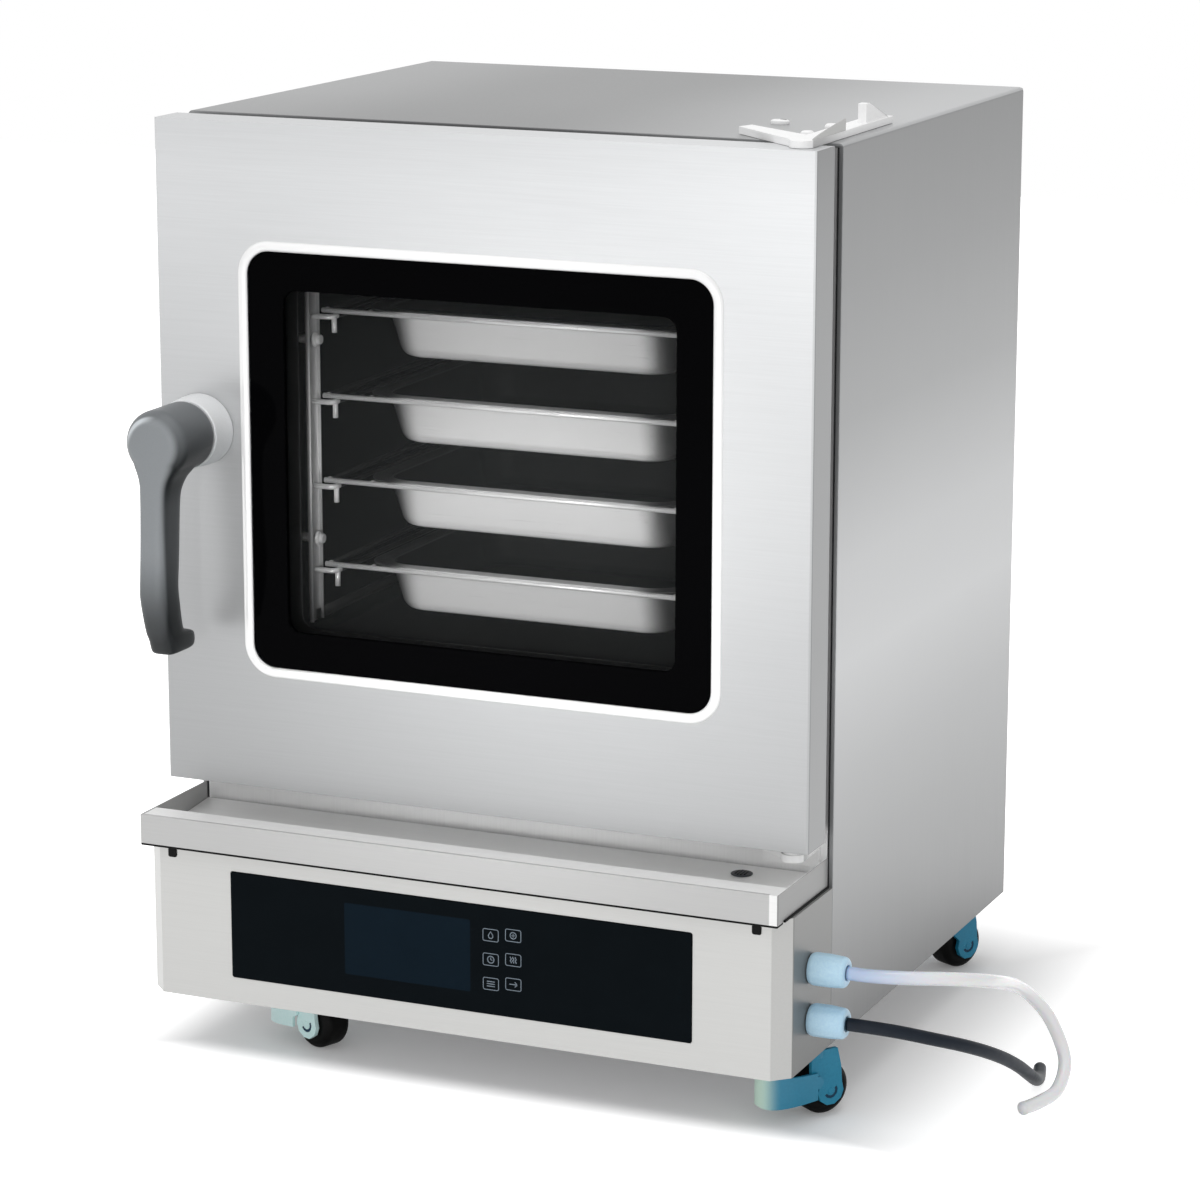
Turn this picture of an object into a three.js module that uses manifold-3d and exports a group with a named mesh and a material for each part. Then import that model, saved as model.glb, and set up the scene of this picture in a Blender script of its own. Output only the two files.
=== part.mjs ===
// Steaming cabinet with four pan shelves, a hinged glass door and a touch panel, on casters.
// Millimetres, +Z up. The working frame has X across the front, Y = 0 on the front of the
// cabinet with +Y towards the back, and Z = 0 on the floor. The exported group is moved so that
// its origin is the middle of the footprint, on the floor.

import * as THREE from "three";
import { mergeVertices } from "three/addons/utils/BufferGeometryUtils.js";
import Module from "manifold-3d";

const wasm = await Module();
wasm.setup();

// Common sizes
const seatGap = 0.3;
const overrun = 3;
const sheet = 1.5;

// How finely round things are divided
const wireSideCount = 6;
const smallSideCount = 8;
const rodSideCount = 12;
const barSideCount = 16;
const turnedSideCount = 22;
const fineSideCount = 32;
const cornerStepCount = 3;
const fineCornerStepCount = 5;
const hoseStepCount = 32;
const cableStepCount = 25;
const heaterStepCount = 40;
const bandStepCount = 18;
const markStepCount = 6;
const footStepCount = 7;

// Cabinet
const cabinetWidth = 640;
const cabinetDepth = 505;
const cabinetHeight = 814;
const casterHeight = 70;
const shellCornerRadius = 4;
const hemWidth = 4;
const hemDepth = 10;
const frameRecess = 1;
const chassisFlange = 22;
const ventSlotLength = 96;
const ventSlotHeight = 6;
const ventSlotPitch = 16;
const ventSlotCount = 7;
const ventColumnOffset = 170;
const ventBottom = 60;

// Cavity, measured up from the underside of the cabinet
const cavityWidth = 444;
const cavityBottom = 322;
const cavityTop = 690;
const motorSpace = 103;
const cavityCornerRadius = 14;
const sealMargin = 6;
const sealFootWidth = 16;
const sealFootDepth = 7;
const sealLipWidth = 9;
const sealCornerRadius = 18;

// Door
const doorThickness = 43;
const doorGap = 21.3;
const doorClearance = 20;
const doorEdgeBevel = 2;
const doorSheet = 1.5;
const windowWidth = 454;
const windowHeight = 386;
const windowBottom = 312.5;
const windowCornerRadius = 22;
const trimFlange = 9.5;
const trimProud = 2.2;
const trimWall = 1.6;
const trimDepth = 7;
const outerGlassThickness = 4;
const outerGlassRecess = 2;
const innerWindowInset = 29;
const innerGlassOverlap = 9;
const innerGlassThickness = 4;

// Door hinge
const hingeInset = 22;
const hingePlate = 6.5;
const hingePinRadius = 5;
const hingePinClearance = 0.6;
const hingePinLength = 16;
const hingeBossRadius = 11;
const hingeArmReach = 80;
const hingeArmBack = 88;
const hingeArmWidth = 17;
const hingeLegLength = 204;
const hingeLegWidth = 19;
const hingeLugHeight = 17;
const hingeLugLength = 56;
const hingeLugWidth = 8;
const hingeLugFront = 96;
const lowerHingeDrop = 6;
const lowerHingeFlangeHeight = 24;
const lowerHingeFlangeWidth = 54;
const lowerHingeBushRadius = 9;

// Door handle and latch
const handleFromEdge = 43;
const handleLevel = 531;
const collarLength = 30;
const collarRadius = 33;
const collarFrontRadius = 31.5;
const hubRadius = 31;
const hubLength = 65;
const hubRound = 9;
const leverDrop = 200;
const spindleRadius = 7;
const spindleDepthInHub = 34;
const latchReach = 28;
const latchHeight = 15;
const latchThickness = 7;
const latchStandOff = 3;
const latchBossRadius = 13;
const keeperGap = 2;
const keeperPlateWidth = 8;
const keeperPlateHeight = 54;
const keeperPostDepth = 17;
const keeperPostHeight = 22;

// Racks, shelves and pans
const tierDrop = 58;
const tierPitch = 80;
const tierCount = 4;
const rodRadius = 2.5;
const shelfWallGap = 22;
const shelfFront = 30;
const shelfSideInset = 3;
const postWebDepth = 22;
const postLip = 4;
const postWallGap = 12;
const postFront = 14;
const rackRearGap = 10;
const rackEndMargin = 16;
const runnerReach = 22;
const rackPegLength = 15;
const rackStudRadius = 4;
const rackKnobRadius = 7;
const rackKnobThickness = 4;
const rackStudDrop = 27;
const rackStudRise = 25;
const tieBarHeight = 10;
const panWidth = 325;
const panDepthAcross = 265;
const panHeight = 40;
const panRim = 15;
const panSheet = 1.2;
const panRimLip = 3.4;
const panCornerRadius = 30;
const panRimRadius = 20;
const panDraft = 7;
const panFloorRadius = 8;

// Fan, heater and baffle
const fanChamberDepth = 52;
const baffleSideGap = 54;
const baffleMargin = 14;
const baffleReturn = 12;
const baffleHubRadius = 18;
const baffleSlotInner = 26;
const baffleSlotOuter = 74;
const baffleSlotWidth = 7;
const baffleSlotCount = 12;
const baffleFootRadius = 5;
const baffleFootInset = 18;
const fanRadius = 84;
const fanWidth = 34;
const fanBladeCount = 12;
const fanBladeThickness = 1.8;
const fanBladeInner = 58;
const fanHubRadius = 15;
const fanDisc = 1.8;
const fanFrontGap = 9;
const shaftRadius = 6;
const shaftClearance = 0.3;
const shaftHoleRadius = 17;
const motorFlange = 96;
const motorFlangeThickness = 3;
const motorRadius = 46;
const motorLength = 62;
const motorFinDepth = 4;
const motorFinCount = 4;
const heaterRadius = 106;
const heaterTubeRadius = 4;
const heaterPitch = 14;
const heaterBack = 12;
const heaterLeadLength = 24;

// Boiler, inlet valve and drain
const boilerRadius = 68;
const boilerHeight = 170;
const boilerX = -150;
const boilerRearInset = 215;
const boilerDome = 14;
const boilerWall = 2;
const boilerFootHeight = 24;
const boilerFootRadius = 9;
const steamPipeRadius = 11;
const steamPipeWall = 1.5;
const drainRadius = 16;
const drainWall = 1.5;
const drainRearInset = 243;
const drainDrop = 210;
const drainBend = 34;
const drainStub = 25;
const drainCollarRadius = 22;
const valveLength = 52;
const valveRadius = 13;
const valveCoil = 26;
const valveFootWidth = 30;
const valveFootDepth = 24;
const valvePost = 12;

// Control housing and drip tray
const housingDepth = 112;
const housingHeight = 148;
const housingChamfer = 15.5;
const glassWidth = 460;
const glassHeight = 102;
const glassBottom = 25;
const glassThickness = 4;
const glassProud = 1;
const displayWidth = 125;
const displayHeight = 67;
const displayX = -49.5;
const displayBottom = 44;
const displayThickness = 8;
const boardWidth = 190;
const boardHeight = 84;
const boardThickness = 1.6;
const boardPartHeight = 9;
const plugSize = 8;
const plugRound = 2;
const plugInset = 29;
const plugDrop = 10;
const plugProud = 1.2;
const plugDepth = 6;
const trayInset = 4;
const trayDepth = 127;
const trayHeight = 28;
const trayFlange = 26;
const trayFloorFrontRise = 4;
const trayFloorBackRise = 12;
const trayRearGap = 2.5;
const drainHoleInset = 78;
const drainHoleY = -24;
const drainHoleRadius = 6;
const spoutWall = 1.5;
const spoutLength = 14;

// Glands, hose and cable
const glandLength = 35;
const glandRadius = 15;
const glandWaist = 13.6;
const glandY = -53.5;
const waterGlandLevel = 89;
const cableGlandLevel = 41.5;
const glandStemRadius = 9;
const glandStemLength = 10;
const glandBoreRadius = 5.2;
const glandMouth = 5;
const hoseRadius = 6.2;
const cableRadius = 6;
const cordReach = 140;

// Casters
const casterLeftInset = 88;
const casterRightInset = 48;
const frontCasterLeftInset = 110;
const frontCasterRightInset = 29;
const casterFrontY = 0;
const casterRearInset = 57;
const casterPlate = 50;
const casterPlateThickness = 3;
const casterStemRadius = 6;
const casterDiscRadius = 24;
const casterDiscThickness = 8;
const wheelRadius = 25;
const wheelWidth = 30;
const wheelShoulder = 5;
const wheelHubRadius = 11;
const wheelDish = 2;
const axleRadius = 3.2;
const axleClearance = 0.5;
const casterTrail = 20;
const cheekGap = 1.4;
const cheekThickness = 4.5;
const cheekFootRadius = 14;
const cheekTopFront = 7;
const cheekTopBack = 27;
const cheekNeckFront = -1;
const cheekNeckBack = 31;
const cheekNeckLevel = 40;
const cheekChamfer = 8;
const hubMarkOuter = 7.5;
const hubMarkInner = 4.7;
const hubMarkDepth = 1.2;
const pedalRadius = 44;
const pedalWall = 4;
const pedalBottom = 14;
const pedalRise = 6;
const pedalTop = 45;
const pedalRoundness = 0.75;
const pedalEarRadius = 6;
const pedalEarThickness = 3;
const pedalPivotX = 4;
const pedalPivotZ = 36;
const casterAnglesDegrees = [-22, 54, 118, 62];

// Derived places
const base = casterHeight;
const halfWidth = cabinetWidth / 2;
const cabinetTopZ = base + cabinetHeight;
const innerHalf = halfWidth - hemWidth - seatGap;
const frameBack = frameRecess + sheet;
const cavityHalf = cavityWidth / 2;
const doorBack = -doorGap;
const doorFront = -(doorGap + doorThickness);
const trayTopZ = base + housingHeight + trayHeight;
const doorBottomZ = trayTopZ + doorClearance;
const pivotX = halfWidth - hingeInset;
const pivotY = doorBack - doorThickness / 2;
const windowCentreZ = base + windowBottom + windowHeight / 2;
const handleX = -(halfWidth - handleFromEdge);
const handleZ = base + handleLevel;
const tierLevels = Array.from({ length: tierCount }, (_, i) => base + cavityTop - tierDrop - i * tierPitch);
const cavityDepth = cabinetDepth - motorSpace;
const baffleDepth = cavityDepth - fanChamberDepth;
const baffleWidth = cavityWidth - 2 * baffleSideGap;
const rackDepth = baffleDepth - postFront - rackRearGap;
const shelfWidth = cavityWidth - 2 * shelfWallGap;
const boilerY = cabinetDepth - boilerRearInset;
const drainY = cabinetDepth - drainRearInset;
const drainHoleX = halfWidth - drainHoleInset;
const plugX = halfWidth - plugInset;
const plugLevel = housingHeight - plugDrop;
const casterLeftX = -(halfWidth - casterLeftInset);
const casterRightX = halfWidth - casterRightInset;
const frontCasterLeftX = -(halfWidth - frontCasterLeftInset);
const frontCasterRightX = halfWidth - frontCasterRightInset;
const casterRearY = cabinetDepth - casterRearInset;
const fanY = baffleDepth + sheet + fanFrontGap;
const fanZ = base + (cavityBottom + cavityTop) / 2;
const heaterLeadX = Math.sqrt(heaterRadius ** 2 - heaterPitch ** 2);

// Materials
const finish = (color, roughness, metalness, extra = {}) =>
  new THREE.MeshStandardMaterial({ color, roughness, metalness, flatShading: true, ...extra });
const brushedSteel = finish(0xc9cbcc, 0.36, 0.9);
const brightSteel = finish(0xe4e6e8, 0.22, 0.95);
const plainSteel = finish(0xa7a9ab, 0.5, 0.8);
const darkSteel = finish(0x54585b, 0.55, 0.8);
const castMetal = finish(0xf1f2f2, 0.45, 0.3);
const trimWhite = finish(0xf4f6f6, 0.25, 0.4);
const tintedGlass = finish(0x11161a, 0.06, 0, { transparent: true, opacity: 0.35 });
const clearGlass = finish(0xdfe9ea, 0.05, 0, { transparent: true, opacity: 0.25 });
const panelGlass = finish(0x0a0f14, 0.08, 0);
const screenBlue = finish(0x14303c, 0.2, 0);
const boardGreen = finish(0x1f5b3a, 0.6, 0);
const slatePlastic = finish(0x6b7478, 0.45, 0);
const collarPlastic = finish(0xd9dcde, 0.4, 0);
const sealRubber = finish(0x1c1d1e, 0.8, 0);
const blackPlastic = finish(0x0d0d0e, 0.5, 0);
const tealPlastic = finish(0x2a86a2, 0.4, 0);
const wheelRubber = finish(0x131314, 0.7, 0);
const glandPlastic = finish(0xaecdf0, 0.4, 0);
const hosePlastic = finish(0xdfe8f5, 0.3, 0, { transparent: true, opacity: 0.75 });
const cableRubber = finish(0x161b2a, 0.6, 0);
const brass = finish(0xb6935a, 0.35, 0.9);

// A three.js geometry as a solid: only positions, shared corners merged, slivers dropped.
function solidOf(geometry) {
  const plain = geometry.clone();
  plain.deleteAttribute("normal");
  plain.deleteAttribute("uv");
  const merged = mergeVertices(plain, 1e-4);
  const index = merged.index.array;
  const kept = [];
  for (let i = 0; i < index.length; i += 3) {
    const [a, b, c] = [index[i], index[i + 1], index[i + 2]];
    if (a !== b && b !== c && a !== c) kept.push(a, b, c);
  }
  return new wasm.Manifold(
    new wasm.Mesh({
      numProp: 3,
      vertProperties: new Float32Array(merged.attributes.position.array),
      triVerts: new Uint32Array(kept),
    }),
  );
}

// A solid as a named mesh.
function meshOf(name, solid, material) {
  const { vertProperties, triVerts } = solid.getMesh();
  const geometry = new THREE.BufferGeometry();
  geometry.setAttribute("position", new THREE.BufferAttribute(vertProperties, 3));
  geometry.setIndex(new THREE.BufferAttribute(triVerts, 1));
  geometry.computeVertexNormals();
  const mesh = new THREE.Mesh(geometry, material);
  mesh.name = name;
  return mesh;
}

const join = (...solids) => solids.reduce((whole, next) => whole.add(next));
const cut = (whole, ...tools) => tools.reduce((rest, tool) => rest.subtract(tool), whole);

// A block between two corners.
function block(x0, x1, y0, y1, z0, z1) {
  const geometry = new THREE.BoxGeometry(x1 - x0, y1 - y0, z1 - z0);
  geometry.translate((x0 + x1) / 2, (y0 + y1) / 2, (z0 + z1) / 2);
  return solidOf(geometry);
}

// A regular polygon as a shape, its first corner on the +X side.
function ring(radius, sideCount) {
  return Array.from({ length: sideCount }, (_, i) => {
    const turn = (2 * Math.PI * i) / sideCount;
    return new THREE.Vector2(radius * Math.cos(turn), radius * Math.sin(turn));
  });
}

// The outline of a rectangle with round corners, as points that run anticlockwise.
function roundedOutline(halfX, halfY, radius, stepCount = cornerStepCount) {
  const points = [];
  const centres = [[1, 1], [-1, 1], [-1, -1], [1, -1]];
  centres.forEach(([sx, sy], corner) => {
    for (let i = 0; i <= stepCount; i += 1) {
      const turn = (Math.PI / 2) * (corner + i / stepCount);
      const x = sx * (halfX - radius) + radius * Math.cos(turn);
      const y = sy * (halfY - radius) + radius * Math.sin(turn);
      points.push(new THREE.Vector2(x, y));
    }
  });
  return points;
}

const extrude = (outline, depth, holes = []) => {
  const shape = new THREE.Shape(outline);
  holes.forEach((hole) => shape.holes.push(new THREE.Path(hole)));
  return new THREE.ExtrudeGeometry(shape, { depth, bevelEnabled: false });
};

// An outline drawn in X and Y, raised from z0 to z1.
function prismZ(outline, z0, z1, holes) {
  return solidOf(extrude(outline, z1 - z0, holes).translate(0, 0, z0));
}

// An outline drawn in X and Z, run from y0 to y1.
function prismY(outline, y0, y1, holes) {
  return solidOf(extrude(outline, y1 - y0, holes).rotateX(Math.PI / 2).translate(0, y1, 0));
}

// An outline drawn in Y and Z, run from x0 to x1.
function prismX(outline, x0, x1, holes) {
  const turned = new THREE.Matrix4().makeBasis(
    new THREE.Vector3(0, 1, 0),
    new THREE.Vector3(0, 0, 1),
    new THREE.Vector3(1, 0, 0),
  );
  return solidOf(extrude(outline, x1 - x0, holes).applyMatrix4(turned).translate(x0, 0, 0));
}

const shifted = (outline, x, y) => outline.map((p) => new THREE.Vector2(p.x + x, p.y + y));
const corners = (...pairs) => pairs.map(([x, y]) => new THREE.Vector2(x, y));

// Round bars along each axis.
const barX = (radius, x0, x1, y, z, sideCount = barSideCount) =>
  prismX(shifted(ring(radius, sideCount), y, z), x0, x1);
const barY = (radius, y0, y1, x, z, sideCount = barSideCount) =>
  prismY(shifted(ring(radius, sideCount), x, z), y0, y1);
const barZ = (radius, z0, z1, x, y, sideCount = barSideCount) =>
  prismZ(shifted(ring(radius, sideCount), x, y), z0, z1);

// A profile of [radius, height] pairs turned about Z, then stood at a place.
function turned(profile, sideCount) {
  const points = profile.map(([r, h]) => new THREE.Vector2(r, h));
  return new THREE.LatheGeometry(points, sideCount).rotateX(Math.PI / 2);
}

// A skin through sections that have the same number of corners, with flat ends.
function loft(sections) {
  const count = sections[0].length;
  const positions = sections.flat().flatMap((p) => [p.x, p.y, p.z]);
  const index = [];
  for (let s = 0; s + 1 < sections.length; s += 1) {
    for (let i = 0; i < count; i += 1) {
      const a = s * count + i;
      const b = s * count + ((i + 1) % count);
      index.push(a, b, b + count, a, b + count, a + count);
    }
  }
  const last = (sections.length - 1) * count;
  for (let i = 1; i + 1 < count; i += 1) {
    index.push(0, i + 1, i, last, last + i, last + i + 1);
  }
  const geometry = new THREE.BufferGeometry();
  geometry.setAttribute("position", new THREE.Float32BufferAttribute(positions, 3));
  geometry.setIndex(index);
  return solidOf(geometry);
}

// A path of straight runs and round bends that has a station only where it turns.
class BentPath extends THREE.Curve {
  constructor(points, bendRadius, bendStepCount) {
    super();
    this.stations = [points[0].clone()];
    this.headings = [points[1].clone().sub(points[0]).normalize()];
    for (let i = 1; i + 1 < points.length; i += 1) {
      this.addBend(points[i - 1], points[i], points[i + 1], bendRadius, bendStepCount);
    }
    this.stations.push(points.at(-1).clone());
    this.headings.push(points.at(-1).clone().sub(points.at(-2)).normalize());
  }

  addBend(before, corner, after, radius, stepCount) {
    const into = corner.clone().sub(before).normalize();
    const out = after.clone().sub(corner).normalize();
    const angle = into.angleTo(out);
    const reach = radius * Math.tan(angle / 2);
    const start = corner.clone().addScaledVector(into, -reach);
    const side = out.clone().addScaledVector(into, -out.dot(into)).normalize();
    for (let i = 0; i <= stepCount; i += 1) {
      const turn = (angle * i) / stepCount;
      const point = start.clone().addScaledVector(into, radius * Math.sin(turn));
      this.stations.push(point.addScaledVector(side, radius * (1 - Math.cos(turn))));
      this.headings.push(
        into.clone().multiplyScalar(Math.cos(turn)).addScaledVector(side, Math.sin(turn)),
      );
    }
  }

  getPoint(t, target = new THREE.Vector3()) {
    return target.copy(this.stations[Math.round(t * this.stepCount)]);
  }

  getPointAt(t, target) {
    return this.getPoint(t, target);
  }

  getTangentAt(t, target = new THREE.Vector3()) {
    return target.copy(this.headings[Math.round(t * this.stepCount)]);
  }

  get stepCount() {
    return this.stations.length - 1;
  }
}

// A round section carried along a path.
function tube(path, radius, sideCount, stepCount = path.stepCount) {
  const shape = new THREE.Shape(ring(radius, sideCount));
  return solidOf(new THREE.ExtrudeGeometry(shape, { steps: stepCount, extrudePath: path }));
}

const point = (x, y, z) => new THREE.Vector3(x, y, z);

// The wrap of the cabinet: top and sides from one sheet, its front edge hemmed.
function outerShell() {
  const r = shellCornerRadius;
  const outline = roundedOutline(halfWidth, cabinetHeight, r).filter((p) => p.y > 0);
  const skirt = corners([-halfWidth, 0], [halfWidth, 0]);
  const wrap = prismY(shifted([...outline, ...skirt], 0, base), 0, cabinetDepth);
  const behindHem = block(
    -(halfWidth - sheet), halfWidth - sheet,
    hemDepth, cabinetDepth + overrun,
    base - overrun, cabinetTopZ - sheet,
  );
  const insideHem = block(
    -(halfWidth - hemWidth), halfWidth - hemWidth,
    -overrun, hemDepth + overrun,
    base - overrun, cabinetTopZ - hemWidth,
  );
  return cut(wrap, behindHem, insideHem);
}

// The back sheet, with two columns of cooling slots and the hole for the drain.
function rearPanel() {
  const half = halfWidth - sheet - seatGap;
  const front = cabinetDepth - sheet;
  const plate = block(
    -half, half, front, cabinetDepth, base + seatGap, cabinetTopZ - sheet - seatGap,
  );
  const tools = [-1, 1].flatMap((side) =>
    Array.from({ length: ventSlotCount }, (_, i) => {
      const z = base + ventBottom + i * ventSlotPitch;
      const x = side * ventColumnOffset;
      const slot = roundedOutline(ventSlotLength / 2, ventSlotHeight / 2, ventSlotHeight / 2, 1);
      return prismY(shifted(slot, x, z), front - overrun, cabinetDepth + overrun);
    }),
  );
  const drainZ = base + cavityBottom - drainDrop;
  const hole = barY(
    drainRadius + seatGap, front - overrun, cabinetDepth + overrun, 0, drainZ, turnedSideCount,
  );
  return cut(plate, ...tools, hole);
}

// The floor of the cabinet and of the control housing, turned up all round.
function chassisOutline(inset) {
  const half = innerHalf - inset;
  const front = -(housingDepth - sheet - seatGap - inset);
  const back = cabinetDepth - sheet - seatGap - inset;
  const chamfer = housingChamfer;
  return corners(
    [half, front + chamfer], [half, back], [-half, back],
    [-half, front + chamfer], [-half + chamfer, front], [half - chamfer, front],
  );
}

function baseChassis() {
  const pan = prismZ(chassisOutline(0), base, base + chassisFlange);
  return cut(pan, prismZ(chassisOutline(sheet), base + sheet, base + chassisFlange + overrun));
}

const cavityOutline = (grow, radius) =>
  shifted(
    roundedOutline(
      cavityHalf + grow, (cavityTop - cavityBottom) / 2 + grow, radius + grow,
    ),
    0, fanZ,
  );

// The face sheet round the cavity mouth, which reaches down behind the drip tray.
function frontFrame() {
  const bottom = base + sheet + seatGap;
  const top = cabinetTopZ - hemWidth - seatGap;
  const half = innerHalf - sheet - seatGap;
  const face = corners([-half, bottom], [half, bottom], [half, top], [-half, top]);
  return prismY(face, frameRecess, frameBack, [cavityOutline(0, cavityCornerRadius)]);
}

// The oven box, open at the front, with holes for the fan, the heater, steam and the drain.
function cavityLiner() {
  const front = frameBack + seatGap;
  const outside = prismY(cavityOutline(sheet, cavityCornerRadius), front, cavityDepth + sheet);
  const inside = prismY(cavityOutline(0, cavityCornerRadius), front - overrun, cavityDepth);
  const backHole = (radius, x, z) =>
    barY(radius, cavityDepth - overrun, cavityDepth + sheet + overrun, x, z);
  const floorHole = (radius, x, y) =>
    barZ(
      radius, base + cavityBottom - sheet - overrun, base + cavityBottom + overrun, x, y,
    );
  return cut(
    outside,
    inside,
    backHole(shaftHoleRadius, 0, fanZ),
    backHole(heaterTubeRadius + seatGap, heaterLeadX, fanZ - heaterPitch),
    backHole(heaterTubeRadius + seatGap, heaterLeadX, fanZ + heaterPitch),
    floorHole(drainRadius + seatGap, 0, drainY),
    floorHole(steamPipeRadius + seatGap, boilerX, boilerY),
  );
}

// The door gasket: a foot on the face sheet and a narrower lip that meets the door.
function doorSeal() {
  const mouth = (grow) =>
    shifted(
      roundedOutline(
        cavityHalf + grow, (cavityTop - cavityBottom) / 2 + grow, sealCornerRadius + grow,
      ),
      0, fanZ,
    );
  const middle = sealMargin + sealFootWidth / 2;
  const foot = prismY(
    mouth(sealMargin + sealFootWidth),
    frameRecess - seatGap - sealFootDepth, frameRecess - seatGap,
    [mouth(sealMargin)],
  );
  const lip = prismY(
    mouth(middle + sealLipWidth / 2),
    doorBack + seatGap, frameRecess - seatGap - sealFootDepth / 2,
    [mouth(middle - sealLipWidth / 2)],
  );
  return join(foot, lip);
}

// The plate in front of the fan: radial intake slots, side edges turned back, four feet.
function fanBaffle() {
  const half = baffleWidth / 2;
  const bottom = base + cavityBottom + baffleMargin;
  const top = base + cavityTop - baffleMargin;
  const back = baffleDepth + baffleReturn;
  const folded = corners(
    [-half, baffleDepth], [half, baffleDepth], [half, back], [half - sheet, back],
    [half - sheet, baffleDepth + sheet], [-half + sheet, baffleDepth + sheet],
    [-half + sheet, back], [-half, back],
  );
  const plate = prismZ(folded, bottom, top);
  const slot = corners(
    [baffleSlotInner, -baffleSlotWidth / 2], [baffleSlotOuter, -baffleSlotWidth / 2],
    [baffleSlotOuter + baffleSlotWidth / 2, 0],
    [baffleSlotOuter, baffleSlotWidth / 2], [baffleSlotInner, baffleSlotWidth / 2],
    [baffleSlotInner - baffleSlotWidth / 2, 0],
  );
  const slots = Array.from({ length: baffleSlotCount }, (_, i) => {
    const turn = (2 * Math.PI * i) / baffleSlotCount;
    const turnedSlot = slot.map((p) => p.clone().rotateAround(new THREE.Vector2(), turn));
    return prismY(
      shifted(turnedSlot, 0, fanZ), baffleDepth - overrun, baffleDepth + sheet + overrun,
    );
  });
  const feet = [-1, 1].flatMap((sx) =>
    [bottom + baffleFootInset, top - baffleFootInset].map((z) =>
      barY(
        baffleFootRadius, baffleDepth + sheet / 2, cavityDepth - seatGap,
        sx * (half - baffleFootInset), z, smallSideCount,
      ),
    ),
  );
  const boss = barY(
    baffleHubRadius, baffleDepth - sheet, baffleDepth + sheet / 2, 0, fanZ,
  );
  return join(cut(plate, ...slots), boss, ...feet);
}

// The circulation fan: a back disc, a hub, swept blades and a front ring. Its axis is Y.
function fanWheel() {
  const bore = shaftRadius + shaftClearance;
  const disc = prismY(ring(fanRadius, turnedSideCount), fanWidth - fanDisc, fanWidth);
  const hub = prismY(ring(fanHubRadius, barSideCount), fanWidth / 2, fanWidth);
  const front = prismY(ring(fanRadius, turnedSideCount), 0, fanDisc, [ring(fanBladeInner, turnedSideCount).reverse()]);
  const t = fanBladeThickness;
  const sweep = (fanRadius - fanBladeInner) / 2;
  const blade = corners(
    [fanBladeInner, 0], [fanRadius - t, -sweep], [fanRadius - t, -sweep + t], [fanBladeInner, t],
  );
  const blades = Array.from({ length: fanBladeCount }, (_, i) => {
    const turn = (2 * Math.PI * i) / fanBladeCount;
    const outline = blade.map((p) => p.clone().rotateAround(new THREE.Vector2(), turn));
    return prismY(outline, fanDisc / 2, fanWidth - fanDisc / 2);
  });
  const whole = join(disc, hub, front, ...blades);
  return cut(whole, prismY(ring(bore, barSideCount), -overrun, fanWidth + overrun));
}

// The fan motor: flange, finned body and the shaft that reaches through the liner.
function fanMotor() {
  const start = cavityDepth + sheet + seatGap;
  const flange = prismY(
    shifted(roundedOutline(motorFlange / 2, motorFlange / 2, motorFinDepth), 0, fanZ),
    start, start + motorFlangeThickness,
  );
  const finPitch = motorLength / motorFinCount;
  const profile = [[0, 0]];
  for (let i = 0; i < motorFinCount; i += 1) {
    profile.push(
      [motorRadius, i * finPitch], [motorRadius, (i + 1 / 2) * finPitch],
      [motorRadius - motorFinDepth, (i + 1 / 2) * finPitch],
      [motorRadius - motorFinDepth, (i + 1) * finPitch],
    );
  }
  profile.push([0, motorLength]);
  const body = solidOf(
    turned(profile, barSideCount).rotateX(-Math.PI / 2)
      .translate(0, start + motorFlangeThickness / 2, fanZ),
  );
  const shaft = barY(shaftRadius, fanY + fanWidth / 4, start + motorFlangeThickness, 0, fanZ);
  return join(flange, body, shaft);
}

// The heater round the fan: one tube of two turns whose ends leave through the back wall.
class HeaterPath extends THREE.Curve {
  getPoint(t, target = new THREE.Vector3()) {
    const leadShare = 0.12;
    const turns = 2;
    const back = cavityDepth - heaterBack;
    const front = back - heaterPitch;
    const startAngle = Math.asin(heaterPitch / heaterRadius);
    const endAngle = 2 * Math.PI * turns - startAngle;
    const along = THREE.MathUtils.clamp((t - leadShare) / (1 - 2 * leadShare), 0, 1);
    const angle = -startAngle - along * (endAngle - startAngle);
    const lead = Math.max(leadShare - t, t - 1 + leadShare, 0) / leadShare;
    const depth = THREE.MathUtils.lerp(back, front, Math.sin(Math.PI * along));
    return target.set(
      heaterRadius * Math.cos(angle),
      depth + lead * (heaterBack + heaterLeadLength),
      fanZ + heaterRadius * Math.sin(angle),
    );
  }
}

// A post of the shelf rack: a flat strip with a narrow lip along each edge.
function rackPost(side, front) {
  const outer = cavityHalf - postWallGap;
  const inner = outer - sheet;
  const lipInner = outer - postLip;
  const bottom = base + cavityBottom + rackEndMargin;
  const top = base + cavityTop - rackEndMargin;
  const spanX = (a, b) => [Math.min(side * a, side * b), Math.max(side * a, side * b)];
  const web = block(...spanX(inner, outer), front, front + postWebDepth, bottom, top);
  const back = front + postWebDepth;
  const frontLip = block(...spanX(lipInner, outer), front, front + sheet, bottom, top);
  const backLip = block(...spanX(lipInner, outer), back - sheet, back, bottom, top);
  return join(web, frontLip, backLip);
}

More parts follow.
